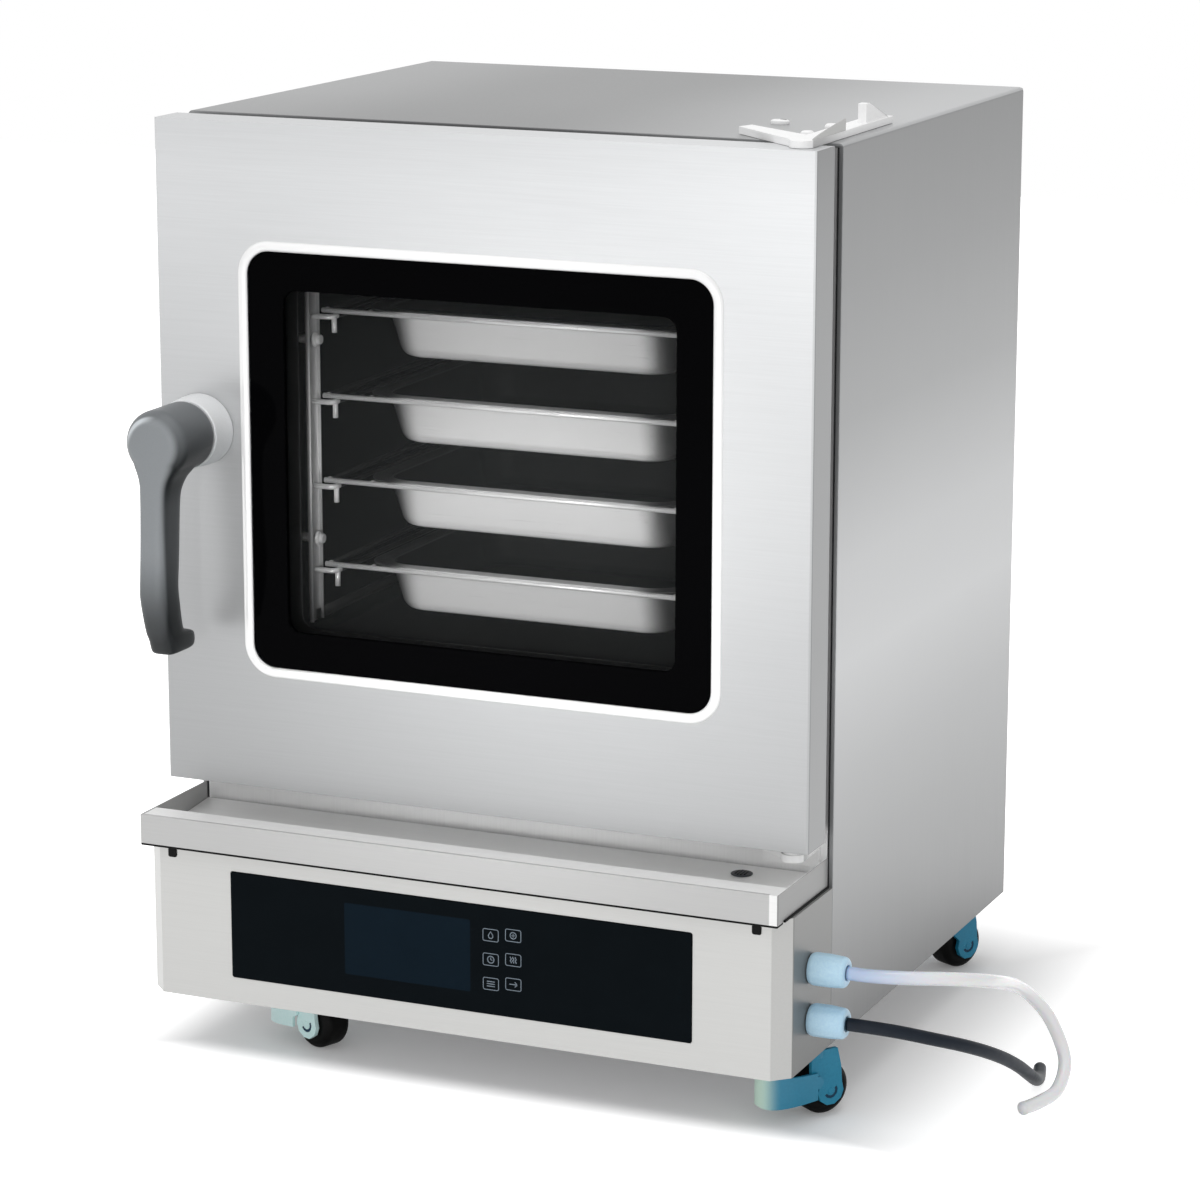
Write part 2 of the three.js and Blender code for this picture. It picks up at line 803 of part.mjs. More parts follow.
// One rack: two posts, tie bars, wall studs with knobs, and four bent runners with end pegs.
function rack(side) {
  const outer = cavityHalf - postWallGap;
  const inner = outer - runnerReach;
  const frontMiddle = postFront + postWebDepth / 2;
  const backPost = postFront + rackDepth - postWebDepth;
  const backMiddle = backPost + postWebDepth / 2;
  const posts = [rackPost(side, postFront), rackPost(side, backPost)];
  const bottom = base + cavityBottom + rackEndMargin;
  const top = base + cavityTop - rackEndMargin;
  const spanX = (a, b) => [Math.min(side * a, side * b), Math.max(side * a, side * b)];
  const ties = [bottom, top - tieBarHeight].map((z) =>
    block(...spanX(outer - sheet, outer), frontMiddle, backMiddle, z, z + tieBarHeight),
  );
  const knobInner = outer - postLip - rackKnobThickness;
  const studLevels = [tierLevels[0] - rackStudDrop, tierLevels[tierCount - 1] + rackStudRise];
  const studs = [frontMiddle, backMiddle].flatMap((y) =>
    studLevels.flatMap((z) => [
      barX(rackStudRadius, ...spanX(outer - sheet, cavityHalf - seatGap), y, z, wireSideCount),
      barX(rackKnobRadius, ...spanX(knobInner, outer), y, z, smallSideCount),
    ]),
  );
  const runners = tierLevels.map((level) => {
    const z = level - 2 * rodRadius - seatGap;
    const path = new BentPath(
      [
        point(side * outer, frontMiddle, z), point(side * inner, frontMiddle, z),
        point(side * inner, backMiddle, z), point(side * outer, backMiddle, z),
      ],
      2 * rodRadius, 2,
    );
    return tube(path, rodRadius, wireSideCount);
  });
  const pegs = tierLevels.map((level) => {
    const z = level - 2 * rodRadius - seatGap;
    const y = frontMiddle + 2 * rodRadius;
    return barZ(rodRadius, z - rackPegLength, z, side * inner, y, wireSideCount);
  });
  return join(...posts, ...ties, ...studs, ...runners, ...pegs);
}

// A shelf of round wire: front and back rods, side rods, and two rods under the pan's rim.
const panBack = shelfFront - rodRadius - seatGap - panSheet + panDepthAcross;
const backRod = panBack - panRim / 2 + rodRadius / 2;

function shelfFrame() {
  const sideX = shelfWidth / 2 - shelfSideInset;
  const underRim = panWidth / 2 - panRim + 2 * rodRadius;
  const across = [shelfFront, backRod].map((y) =>
    barX(rodRadius, -shelfWidth / 2, shelfWidth / 2, y, 0, smallSideCount),
  );
  const along = [-sideX, -underRim, underRim, sideX].map((x) =>
    barY(rodRadius, shelfFront, backRod, x, 0, wireSideCount),
  );
  return join(...across, ...along);
}

// A food pan: drafted walls, a rounded floor edge and a flat rim with a turned-down lip.
function foodPan() {
  const rimTop = rodRadius + seatGap + panSheet;
  const rimUnder = rodRadius + seatGap;
  const middleY = panBack - panDepthAcross / 2;
  const halfX = panWidth / 2 - panRim;
  const halfY = panDepthAcross / 2 - panRim;
  const section = (inset, z) =>
    roundedOutline(halfX - inset, halfY - inset, panCornerRadius - inset / 2)
      .map((p) => point(p.x, p.y + middleY, z));
  const shell = (wall, lift) => {
    const floor = rimTop - panHeight + lift;
    const r = panFloorRadius - lift;
    return loft([
      section(wall + panDraft + r, floor),
      section(wall + panDraft + r * (1 - Math.SQRT1_2), floor + r * (1 - Math.SQRT1_2)),
      section(wall + panDraft, floor + r),
      section(wall, rimTop + (lift ? overrun : 0)),
    ]);
  };
  const rimOutline = (inset) =>
    shifted(
      roundedOutline(
        panWidth / 2 - inset, panDepthAcross / 2 - inset, panRimRadius - inset,
      ),
      0, middleY,
    );
  const rim = prismZ(rimOutline(0), rimUnder, rimTop);
  const lip = prismZ(rimOutline(0), rimTop - panRimLip, rimTop, [rimOutline(panSheet)]);
  const reach = rodRadius + seatGap;
  const notches = [shelfFront, backRod].map((y) =>
    block(-panWidth, panWidth, y - reach, y + reach, rimUnder - panRimLip, rimUnder),
  );
  return cut(join(shell(0, 0), rim, cut(lip, ...notches)), shell(panSheet, panSheet));
}

// The window opening as an outline in X and Z.
const windowOutline = (grow) =>
  shifted(
    roundedOutline(
      windowWidth / 2 + grow, windowHeight / 2 + grow, windowCornerRadius + grow,
      fineCornerStepCount,
    ),
    0, windowCentreZ,
  );

const innerWindowOutline = (grow) =>
  shifted(
    roundedOutline(
      windowWidth / 2 - innerWindowInset + grow,
      windowHeight / 2 - innerWindowInset + grow,
      windowCornerRadius - innerGlassOverlap + grow,
    ),
    0, windowCentreZ,
  );

// The outer skin of the door: a shallow box with the window, spindle and hinge pin holes.
function doorSkin() {
  const b = doorEdgeBevel;
  const outline = corners(
    [halfWidth, doorFront + b], [halfWidth, doorBack], [-halfWidth, doorBack],
    [-halfWidth, doorFront + b], [-halfWidth + b, doorFront], [halfWidth - b, doorFront],
  );
  const box = prismZ(outline, doorBottomZ, cabinetTopZ);
  const hollow = block(
    -(halfWidth - doorSheet), halfWidth - doorSheet,
    doorFront + doorSheet, doorBack + overrun,
    doorBottomZ + doorSheet, cabinetTopZ - doorSheet,
  );
  const window = prismY(
    windowOutline(trimWall + seatGap), doorFront - overrun, doorFront + doorSheet + overrun,
  );
  const spindle = barY(
    spindleRadius + seatGap, doorFront - overrun, doorFront + doorSheet + overrun,
    handleX, handleZ,
  );
  const pins = barZ(
    hingePinRadius + hingePinClearance, doorBottomZ - overrun, cabinetTopZ + overrun,
    pivotX, pivotY,
  );
  return cut(box, hollow, window, spindle, pins);
}

// The sheet that closes the back of the door.
function doorInnerPanel() {
  const half = halfWidth - doorSheet - seatGap;
  const bottom = doorBottomZ + doorSheet + seatGap;
  const top = cabinetTopZ - doorSheet - seatGap;
  const face = corners([-half, bottom], [half, bottom], [half, top], [-half, top]);
  const spindle = shifted(ring(spindleRadius + seatGap, barSideCount), handleX, handleZ);
  return prismY(face, doorBack - doorSheet, doorBack, [innerWindowOutline(0), spindle]);
}

// The bright frame round the window: a flat flange and a wall that goes into the skin.
function windowTrim() {
  const flange = prismY(
    windowOutline(trimFlange), doorFront - seatGap - trimProud, doorFront - seatGap,
    [windowOutline(0)],
  );
  const wall = prismY(
    windowOutline(trimWall), doorFront - seatGap - trimProud / 2, doorFront + trimDepth,
    [windowOutline(0)],
  );
  return join(flange, wall);
}

function outerGlass() {
  const front = doorFront + outerGlassRecess;
  return prismY(windowOutline(-seatGap), front, front + outerGlassThickness);
}

function innerGlass() {
  const back = doorBack - doorSheet - seatGap;
  return prismY(innerWindowOutline(innerGlassOverlap), back - innerGlassThickness, back);
}

// The collar between the door and the handle, turned about the spindle.
function handleCollar() {
  const bore = spindleRadius + seatGap;
  const profile = [
    [bore, 0], [collarRadius, 0], [collarRadius, collarLength / 3],
    [collarFrontRadius, collarLength - seatGap], [bore, collarLength - seatGap], [bore, 0],
  ];
  return solidOf(
    turned(profile, fineSideCount).rotateX(Math.PI / 2).translate(handleX, doorFront - seatGap, handleZ),
  );
}

// The handle: a round hub, and a lever that hangs down, leans towards the door and ends in a
// small hook. Its sections are ellipses square to a curve. Each row of the table gives, as
// shares of the lever's drop, how far down the curve is and how far it stands from the hub's
// front, then its half width and half thickness.
const leverShares = [
  [0.03, 0.095, 0.125, 0.076],
  [0.13, 0.085, 0.112, 0.078],
  [0.24, 0.078, 0.098, 0.077],
  [0.46, 0.077, 0.089, 0.074],
  [0.7, 0.082, 0.085, 0.07],
  [0.84, 0.11, 0.083, 0.066],
  [0.93, 0.15, 0.081, 0.058],
  [0.975, 0.2, 0.078, 0.042],
  [0.975, 0.255, 0.075, 0.026],
  [0.95, 0.29, 0.07, 0.02],
];

function doorHandle() {
  const back = doorFront - seatGap - collarLength - seatGap;
  const front = back - hubLength;
  const round = [1 / 3, 2 / 3, 1].map((share) => {
    const turn = (Math.PI / 2) * share;
    const inset = hubRound * (1 - Math.cos(turn));
    return [hubRadius - inset, hubLength - hubRound + hubRound * Math.sin(turn)];
  });
  const profile = [[0, 0], [hubRadius, 0], [hubRadius, hubLength - hubRound], ...round];
  const hub = solidOf(
    turned([...profile, [0, hubLength]], fineSideCount).rotateX(Math.PI / 2)
      .translate(handleX, back, handleZ),
  );
  const spine = leverShares.map(([down, inward]) =>
    point(handleX, front + inward * leverDrop, handleZ - down * leverDrop),
  );
  const sections = leverShares.map(([, , widthShare, thickShare], i) => {
    const before = spine[Math.max(i - 1, 0)];
    const after = spine[Math.min(i + 1, spine.length - 1)];
    const along = after.clone().sub(before).normalize();
    const across = point(1, 0, 0);
    const out = along.clone().cross(across);
    return ring(1, barSideCount).map((p) =>
      spine[i].clone()
        .addScaledVector(across, p.x * widthShare * leverDrop)
        .addScaledVector(out, p.y * thickShare * leverDrop),
    );
  });
  const bore = barY(
    spindleRadius + seatGap, back - spindleDepthInHub, back + overrun, handleX, handleZ,
  );
  return cut(join(hub, loft(sections)), bore);
}

// The spindle through the door and the latch arm on its inner end.
function latchArm() {
  const hubBack = doorFront - seatGap - collarLength - seatGap;
  const armFront = doorBack + latchStandOff;
  const armBack = armFront + latchThickness;
  const spindle = barY(
    spindleRadius, hubBack - spindleDepthInHub + seatGap, armBack, handleX, handleZ,
  );
  const boss = barY(latchBossRadius, armFront, armBack, handleX, handleZ);
  const h = latchHeight / 2;
  const arm = shifted(
    corners([0, -h], [0, h], [-latchReach + h / 2, h], [-latchReach, h / 2], [-latchReach, -h]),
    handleX, handleZ,
  );
  return join(spindle, boss, prismY(arm.reverse(), armFront, armBack));
}

// The keeper on the face sheet beside the latch arm: a screwed plate and a raised post.
function latchKeeper() {
  const right = handleX - latchReach - keeperGap;
  const left = right - keeperPlateWidth;
  const face = frameRecess - seatGap;
  const h = keeperPlateHeight / 2;
  const p = keeperPostHeight / 2;
  const plate = block(left, right, face - sheet, face, handleZ - h, handleZ + h);
  const post = prismX(
    shifted(
      corners([0, -p], [0, p], [-keeperPostDepth, p / 2], [-keeperPostDepth, -p / 2]),
      face - sheet / 2, handleZ,
    ),
    left, right,
  );
  return join(plate, post);
}

// A hinge plate seen from above: a boss on the pin, an arm that runs back and inwards, and a
// leg that runs straight back beside the edge of the cabinet.
function hingeOutline(armReach, armBack, legLength) {
  const w = hingeArmWidth;
  const edge = hingeLegWidth / 2;
  const boss = ring(hingeBossRadius, barSideCount).filter((p) => p.y <= 0);
  boss.sort((a, b) => Math.atan2(a.y, a.x) - Math.atan2(b.y, b.x));
  const right = Math.min(hingeBossRadius, edge);
  return shifted(
    [
      ...boss,
      ...corners(
        [right, legLength], [right - hingeLegWidth, legLength],
        [right - hingeLegWidth, (w * armBack) / armReach + w],
        [-armReach, armBack], [-armReach - w / 3, armBack - w], [-hingeBossRadius, 0],
      ),
    ],
    pivotX, pivotY,
  );
}

function topHingeBracket() {
  const bottom = cabinetTopZ + seatGap;
  const top = bottom + hingePlate;
  const plate = prismZ(hingeOutline(hingeArmReach, hingeArmBack, hingeLegLength), bottom, top);
  const pin = barZ(
    hingePinRadius, cabinetTopZ - hingePinLength, bottom + hingePlate / 2, pivotX, pivotY,
  );
  const lug = prismX(
    corners(
      [hingeLugFront, top - hingePlate / 2], [hingeLugFront, top + hingeLugHeight],
      [hingeLugFront + hingeLugWidth, top + hingeLugHeight],
      [hingeLugFront + hingeLugLength, top],
      [hingeLugFront + hingeLugLength, top - hingePlate / 2],
    ).reverse(),
    pivotX, pivotX + hingeLugWidth,
  );
  return join(plate, pin, lug);
}

function bottomHingeBracket() {
  const top = doorBottomZ - lowerHingeDrop;
  const bottom = top - hingePlate;
  const face = frameRecess - seatGap;
  const reach = face - pivotY;
  const plate = prismZ(hingeOutline(reach, reach, reach), bottom, top);
  const right = pivotX + hingeLegWidth / 2;
  const flange = block(
    right - lowerHingeFlangeWidth, right, face - 2 * sheet, face,
    top - lowerHingeFlangeHeight, top,
  );
  const bush = barZ(
    lowerHingeBushRadius, top - hingePlate / 2, doorBottomZ - seatGap, pivotX, pivotY,
  );
  const pin = barZ(
    hingePinRadius, bottom + hingePlate / 2, doorBottomZ + hingePinLength, pivotX, pivotY,
  );
  return join(plate, flange, bush, pin);
}

// The drip tray: one folded section from end to end, end walls, and a drain spout.
function dripTray() {
  const half = halfWidth - trayInset;
  const t = sheet;
  const front = -trayDepth;
  const back = -trayRearGap;
  const bottom = base + housingHeight + seatGap;
  const top = trayTopZ;
  const floorFront = base + housingHeight + trayFloorFrontRise;
  const floorBack = base + housingHeight + trayFloorBackRise;
  const inner = front + trayFlange;
  const slope = (floorBack - floorFront) / (back - inner);
  const beyond = back + overrun;
  const beyondFloor = floorBack + slope * overrun;
  const above = corners(
    [inner, floorFront], [beyond, beyondFloor], [beyond, top + overrun], [inner, top + overrun],
  );
  const below = corners(
    [front + t, bottom - overrun], [beyond, bottom - overrun], [beyond, beyondFloor - t],
    [inner - t, floorFront - t], [inner - t, top - t], [front + t, top - t],
  );
  const folded = cut(
    block(-half, half, front, back, bottom, top),
    ...[above, below].map((space) => prismX(space, -half + t, half - t)),
  );
  const spoutBottom = base + housingHeight - spoutLength;
  const spout = barZ(
    drainHoleRadius + spoutWall, spoutBottom, floorBack, drainHoleX, drainHoleY, rodSideCount,
  );
  const aboveFloor = prismX(
    corners(
      [inner, floorFront - t / 2], [back, floorBack - t / 2],
      [back, floorBack + overrun], [inner, floorBack + overrun],
    ),
    -half, half,
  );
  const bore = barZ(
    drainHoleRadius, spoutBottom - overrun, floorBack + overrun, drainHoleX, drainHoleY, rodSideCount,
  );
  return cut(join(folded, cut(spout, aboveFloor)), bore);
}

// The control housing as seen from above, with its two front corners cut off.
function housingOutline(inset) {
  const half = halfWidth - inset;
  const front = -(housingDepth - inset);
  const chamfer = housingChamfer - inset * Math.tan(Math.PI / 8);
  const back = inset ? overrun : -seatGap;
  return corners(
    [half, front + chamfer], [half, back], [-half, back],
    [-half, front + chamfer], [-half + chamfer, front], [half - chamfer, front],
  );
}

// The housing: front, sides and top, open below and behind, with its cut-outs.
function controlHousing() {
  const top = base + housingHeight;
  const box = prismZ(housingOutline(0), base, top);
  const hollow = prismZ(housingOutline(sheet), base - overrun, top - sheet);
  const glass = roundedOutline(glassWidth / 2 + seatGap, glassHeight / 2 + seatGap, sheet, 1);
  const wall = [-housingDepth - overrun, -housingDepth + sheet + overrun];
  const glassHole = prismY(shifted(glass, 0, base + glassBottom + glassHeight / 2), ...wall);
  const plug = roundedOutline(plugSize / 2, plugSize / 2, plugRound);
  const plugHoles = [-plugX, plugX].map((x) => prismY(shifted(plug, x, base + plugLevel), ...wall));
  const glandHoles = [waterGlandLevel, cableGlandLevel].map((level) =>
    barX(
      glandStemRadius + seatGap, halfWidth - sheet - overrun, halfWidth + overrun,
      glandY, base + level,
    ),
  );
  const spoutHole = barZ(
    drainHoleRadius + spoutWall + seatGap, top - sheet - overrun, top + overrun,
    drainHoleX, drainHoleY, rodSideCount,
  );
  return cut(box, hollow, glassHole, ...plugHoles, ...glandHoles, spoutHole);
}

function controlGlass() {
  const outline = roundedOutline(glassWidth / 2, glassHeight / 2, sheet, 1);
  const front = -housingDepth - glassProud;
  return prismY(
    shifted(outline, 0, base + glassBottom + glassHeight / 2), front, front + glassThickness,
  );
}

const glassBack = -housingDepth - glassProud + glassThickness + seatGap;

function displayModule() {
  const z = base + displayBottom;
  return block(
    displayX - displayWidth / 2, displayX + displayWidth / 2,
    glassBack, glassBack + displayThickness, z, z + displayHeight,
  );
}

// The controller board behind the display, with its larger components as blocks.
function controlBoard() {
  const front = glassBack + displayThickness + seatGap;
  const back = front + boardThickness;
  const middle = base + displayBottom + displayHeight / 2;
  const left = displayX - displayWidth / 2;
  const board = block(
    left, left + boardWidth, front, back, middle - boardHeight / 2, middle + boardHeight / 2,
  );
  const placeShares = [[0.1, 0.2], [0.36, 0.3], [0.7, 0.18]];
  const partShares = placeShares.map(([at, size]) => [at * boardWidth, size * boardWidth]);
  const parts = partShares.map(([at, size]) =>
    block(
      left + at, left + at + size, back - boardThickness / 2, back + boardPartHeight,
      middle - size / 2, middle + size / 2,
    ),
  );
  return join(board, ...parts);
}

// A push-in plug: a head that stands proud of the housing and a stem in its hole.
function housingPlug() {
  const stem = roundedOutline(plugSize / 2 - seatGap, plugSize / 2 - seatGap, plugRound);
  const head = roundedOutline(plugSize / 2 + seatGap, plugSize / 2 + seatGap, plugRound);
  return join(prismY(stem, -plugProud / 2, plugDepth), prismY(head, -plugProud, -seatGap));
}

// A cable gland along +X: a soft-edged cap outside the wall, a stem through it, and a bore.
function gland(boreRadius) {
  const profile = [
    [glandBoreRadius, -glandStemLength], [glandStemRadius, -glandStemLength],
    [glandStemRadius, seatGap], [glandWaist, seatGap], [glandRadius, glandMouth],
    [glandRadius, glandLength / 2], [glandWaist, glandLength - glandMouth / 2],
    [glandWaist - glandMouth / 2, glandLength], [boreRadius, glandLength],
    [boreRadius, glandLength - glandMouth], [glandBoreRadius, glandLength - glandMouth],
    [glandBoreRadius, -glandStemLength],
  ];
  return solidOf(turned(profile, barSideCount).rotateY(Math.PI / 2));
}

// The routes of the water hose and the power cable, from the gland's mouth to the floor. Each row
// gives how far out from the mouth and how far back the point is, as shares of the reach, and its
// height as a share of the gland's height above the floor.
const hoseRouteShares = [
  [0, 0, 1], [0.1407, 0, 1], [0.3521, 0.0564, 0.9975], [0.5364, 0.1929, 0.9786],
  [0.6586, 0.3743, 0.939], [0.72, 0.5771, 0.8836], [0.7364, 0.7821, 0.8226],
  [0.7321, 0.9893, 0.7585], [0.735, 1.2107, 0.6786], [0.7736, 1.4157, 0.5648],
  [0.8621, 1.5536, 0.3969], [0.9714, 1.535, 0.1755], [0.9921, 1.3221, 0.0585],
  [0.9429, 1.1043, 0.0403], [0.8771, 0.9321, 0.0403],
];
const cableRouteShares = [
  [0, 0, 1], [0.1264, 0, 1], [0.3264, 0.0464, 0.9731], [0.5121, 0.1536, 0.9058],
  [0.655, 0.3107, 0.8161], [0.755, 0.4964, 0.704], [0.8193, 0.6964, 0.574],
  [0.855, 0.8964, 0.4305], [0.8621, 1.0964, 0.2825], [0.8479, 1.3036, 0.148],
  [0.805, 1.5107, 0.0682], [0.7479, 1.7179, 0.0556],
];

function cord(routeShares, level, radius, stepCount) {
  const start = halfWidth + glandLength + seatGap;
  const route = routeShares.map(([out, back, up]) =>
    point(start + out * cordReach, glandY + back * cordReach, up * level),
  );
  return tube(new THREE.CatmullRomCurve3(route), radius, smallSideCount, stepCount);
}

// The water inlet valve: a body in line with its gland, a coil block and a footed post.
function inletValve() {
  const right = halfWidth - sheet - glandStemLength - seatGap;
  const left = right - valveLength;
  const z = base + waterGlandLevel;
  const x = (left + right) / 2;
  const floor = base + sheet + seatGap;
  const body = barX(valveRadius, left, right, glandY, z);
  const coil = block(
    x - valveCoil / 2, x + valveCoil / 2, glandY - valveCoil / 2, glandY + valveCoil / 2,
    z, z + valveRadius + valveCoil,
  );
  const post = block(
    left, left + valvePost, glandY - valvePost / 2, glandY + valvePost / 2, floor, z,
  );
  const foot = block(
    left - (valveFootWidth - valvePost) / 2, left + (valveFootWidth + valvePost) / 2,
    glandY - valveFootDepth / 2, glandY + valveFootDepth / 2, floor, floor + 2 * sheet,
  );
  return join(body, coil, post, foot);
}

// The boiler: a domed vessel on three feet, with the steam pipe up into the cavity.
function boilerTank() {
  const floor = base + sheet + seatGap;
  const bottom = floor + boilerFootHeight;
  const top = bottom + boilerHeight;
  const r = boilerRadius;
  const drum = (inset) => {
    const profile = [
      [0, inset], [r - boilerDome, inset], [r - inset, boilerDome],
      [r - inset, boilerHeight - boilerDome], [r - boilerDome, boilerHeight - inset],
      [0, boilerHeight - inset],
    ];
    return solidOf(turned(profile, barSideCount).translate(boilerX, boilerY, bottom));
  };
  const pipe = barZ(
    steamPipeRadius, top - boilerDome, base + cavityBottom + seatGap, boilerX, boilerY,
  );
  const bore = barZ(
    steamPipeRadius - steamPipeWall, top - boilerDome, base + cavityBottom + overrun,
    boilerX, boilerY,
  );
  const reach = r - boilerDome - boilerFootRadius;
  const feet = ring(reach, 3).map((p) =>
    barZ(boilerFootRadius, floor, bottom + boilerDome, boilerX + p.x, boilerY + p.y, rodSideCount),
  );
  return cut(join(drum(0), pipe, ...feet), drum(boilerWall), bore);
}

// The drain: down from the cavity floor, one bend, and out through the back panel.
function drainPipe() {
  const top = base + cavityBottom;
  const low = top - drainDrop;
  const back = cabinetDepth + drainStub;
  const run = (extra) => [
    point(0, drainY, top + extra), point(0, drainY, low), point(0, back + extra, low),
  ];
  const outer = new BentPath(run(0), drainBend, fineCornerStepCount);
  const inner = new BentPath(run(overrun), drainBend, fineCornerStepCount);
  const collar = barZ(
    drainCollarRadius, top - sheet - seatGap - drainWall, top - sheet - seatGap, 0, drainY,
  );
  const pipe = join(tube(outer, drainRadius, rodSideCount), collar);
  return cut(pipe, tube(inner, drainRadius - drainWall, rodSideCount));
}

// Caster pieces, in a frame whose origin is on the floor under the swivel axis and whose +X
// points the way the wheel trails.
function casterMount() {
  const top = casterHeight - seatGap;
  const bottom = top - casterPlateThickness;
  const plate = prismZ(
    roundedOutline(casterPlate / 2, casterPlate / 2, casterStemRadius), bottom, top,
  );
  const discBottom = bottom - seatGap - casterDiscThickness;
  return join(plate, barZ(casterStemRadius, discBottom - seatGap, top - sheet, 0, 0));
}

const casterDiscTop = casterHeight - seatGap - casterPlateThickness - seatGap;

// The fork: a swivel disc, two cheeks with a chamfered neck and a round foot, a curved recess in
// each foot, and the axle.
function casterFork() {
  const top = casterDiscTop;
  const bottom = top - casterDiscThickness;
  const disc = barZ(casterDiscRadius, bottom, top, 0, 0, turnedSideCount);
  const bore = barZ(casterStemRadius + seatGap, bottom - overrun, top + overrun, 0, 0);
  const inside = wheelWidth / 2 + cheekGap;
  const outside = inside + cheekThickness;
  const foot = [];
  for (let i = 0; i <= footStepCount; i += 1) {
    const turn = Math.PI * (-7 / 6 + (4 / 3) * (i / footStepCount));
    foot.push([
      casterTrail + cheekFootRadius * Math.cos(turn), wheelRadius + cheekFootRadius * Math.sin(turn),
    ]);
  }
  const cheekTop = top - sheet;
  const cheek = corners(
    ...foot, [cheekNeckBack, cheekNeckLevel + cheekChamfer], [cheekTopBack, cheekTop],
    [cheekTopFront, cheekTop], [cheekNeckFront, cheekTop - cheekChamfer],
    [cheekNeckFront, cheekNeckLevel],
  );
  const cheeks = [-outside, inside].map((y) => prismY(cheek, y, y + cheekThickness));
  const arc = (radius) => {
    return Array.from({ length: markStepCount + 1 }, (_, i) => {
      const turn = (-5 / 6 + i / markStepCount) * Math.PI;
      return [casterTrail + radius * Math.cos(turn), wheelRadius + radius * Math.sin(turn)];
    });
  };
  const mark = corners(...arc(hubMarkOuter), ...arc(hubMarkInner).reverse());
  const marks = [-outside - overrun, outside - hubMarkDepth].map((y) =>
    prismY(mark, y, y + hubMarkDepth + overrun),
  );
  const axle = barY(
    axleRadius, -outside - seatGap, outside + seatGap, casterTrail, wheelRadius, rodSideCount,
  );
  return join(cut(join(disc, ...cheeks), bore, ...marks), axle);
}

// A wheel about the Y axis: rounded tread, dished sides and a bore.
function casterWheel() {
  const h = wheelWidth / 2;
  const bore = axleRadius + axleClearance;
  const profile = [
    [bore, -h + wheelDish], [wheelHubRadius, -h + wheelDish], [wheelHubRadius + wheelDish, -h],
    [wheelRadius - wheelShoulder, -h], [wheelRadius, -h + wheelShoulder],
    [wheelRadius, h - wheelShoulder], [wheelRadius - wheelShoulder, h],
    [wheelHubRadius + wheelDish, h], [wheelHubRadius, h - wheelDish], [bore, h - wheelDish],
    [bore, -h + wheelDish],
  ];
  return solidOf(turned(profile, turnedSideCount).rotateX(-Math.PI / 2));
}

// The brake pedal: a band bent round the front of the wheel like a squared half ring, deepest at
// the front, with an ear on each cheek.
function casterPedal() {
  const earInside = wheelWidth / 2 + cheekGap + cheekThickness + seatGap;
  const earOutside = earInside + pedalEarThickness;
  const halfRing = (radius) => {
    return Array.from({ length: bandStepCount + 1 }, (_, i) => {
      const turn = Math.PI * (1 / 2 + i / bandStepCount);
      const squared = (value) => Math.sign(value) * Math.abs(value) ** pedalRoundness;
      const side = squared(Math.sin(turn)) * earOutside;
      return new THREE.Vector2(squared(Math.cos(turn)) * radius, side * (radius / pedalRadius));
    });
  };
  const outer = halfRing(pedalRadius);
  const inner = halfRing(pedalRadius - pedalWall).reverse();
  const reach = pedalPivotX;
  const outline = [
    ...outer, ...corners([reach, -earOutside], [reach, -earInside]),
    ...inner.map((p) => new THREE.Vector2(p.x, THREE.MathUtils.clamp(p.y, -earInside, earInside))),
    ...corners([reach, earInside], [reach, earOutside]),
  ];
  const low = pedalBottom - overrun;
  const behind = -pedalRadius - overrun;
  const beyond = reach + overrun;
  const slope = prismY(
    corners([behind, low], [beyond, low], [beyond, pedalBottom + pedalRise], [behind, pedalBottom]),
    -earOutside - overrun, earOutside + overrun,
  );
  const band = cut(prismZ(outline, pedalBottom, pedalTop), slope);
  const ears = [-earOutside, earInside].map((y) =>
    barY(pedalEarRadius, y, y + pedalEarThickness, pedalPivotX, pedalPivotZ),
  );
  return join(band, ...ears);
}

// Assembly
const cabinet = new THREE.Group();
const add = (parent, name, solid, material) => {
  const mesh = meshOf(name, solid, material);
  parent.add(mesh);
  return mesh;
};

add(cabinet, "outer_shell", outerShell(), brushedSteel);
add(cabinet, "rear_panel", rearPanel(), plainSteel);
add(cabinet, "base_chassis", baseChassis(), plainSteel);
add(cabinet, "front_frame", frontFrame(), brushedSteel);
add(cabinet, "cavity_liner", cavityLiner(), plainSteel);
add(cabinet, "door_seal", doorSeal(), sealRubber);
add(cabinet, "fan_baffle", fanBaffle(), plainSteel);
add(cabinet, "fan_motor", fanMotor(), darkSteel);
add(cabinet, "heating_element", tube(new HeaterPath(), heaterTubeRadius, wireSideCount, heaterStepCount), darkSteel);
add(cabinet, "left_rack", rack(-1), brightSteel);
add(cabinet, "right_rack", rack(1), brightSteel);
add(cabinet, "boiler_tank", boilerTank(), plainSteel);
add(cabinet, "drain_pipe", drainPipe(), plainSteel);
add(cabinet, "inlet_valve", inletValve(), brass);

const fan = new THREE.Group();
fan.position.set(0, fanY, fanZ);
add(fan, "fan_wheel", fanWheel(), plainSteel);
cabinet.add(fan);

tierLevels.forEach((level, i) => {
  const tier = new THREE.Group();
  tier.position.z = level;
  add(tier, `shelf_${i + 1}`, shelfFrame(), brightSteel);
  add(tier, `pan_${i + 1}`, foodPan(), brightSteel);
  cabinet.add(tier);
});

const door = new THREE.Group();
add(door, "door_skin", doorSkin(), brushedSteel);
add(door, "door_inner_panel", doorInnerPanel(), plainSteel);
add(door, "window_trim", windowTrim(), trimWhite);
add(door, "outer_glass", outerGlass(), tintedGlass);
add(door, "inner_glass", innerGlass(), clearGlass);
add(door, "handle_collar", handleCollar(), collarPlastic);
add(door, "door_handle", doorHandle(), slatePlastic);
add(door, "latch_arm", latchArm(), plainSteel);
cabinet.add(door);

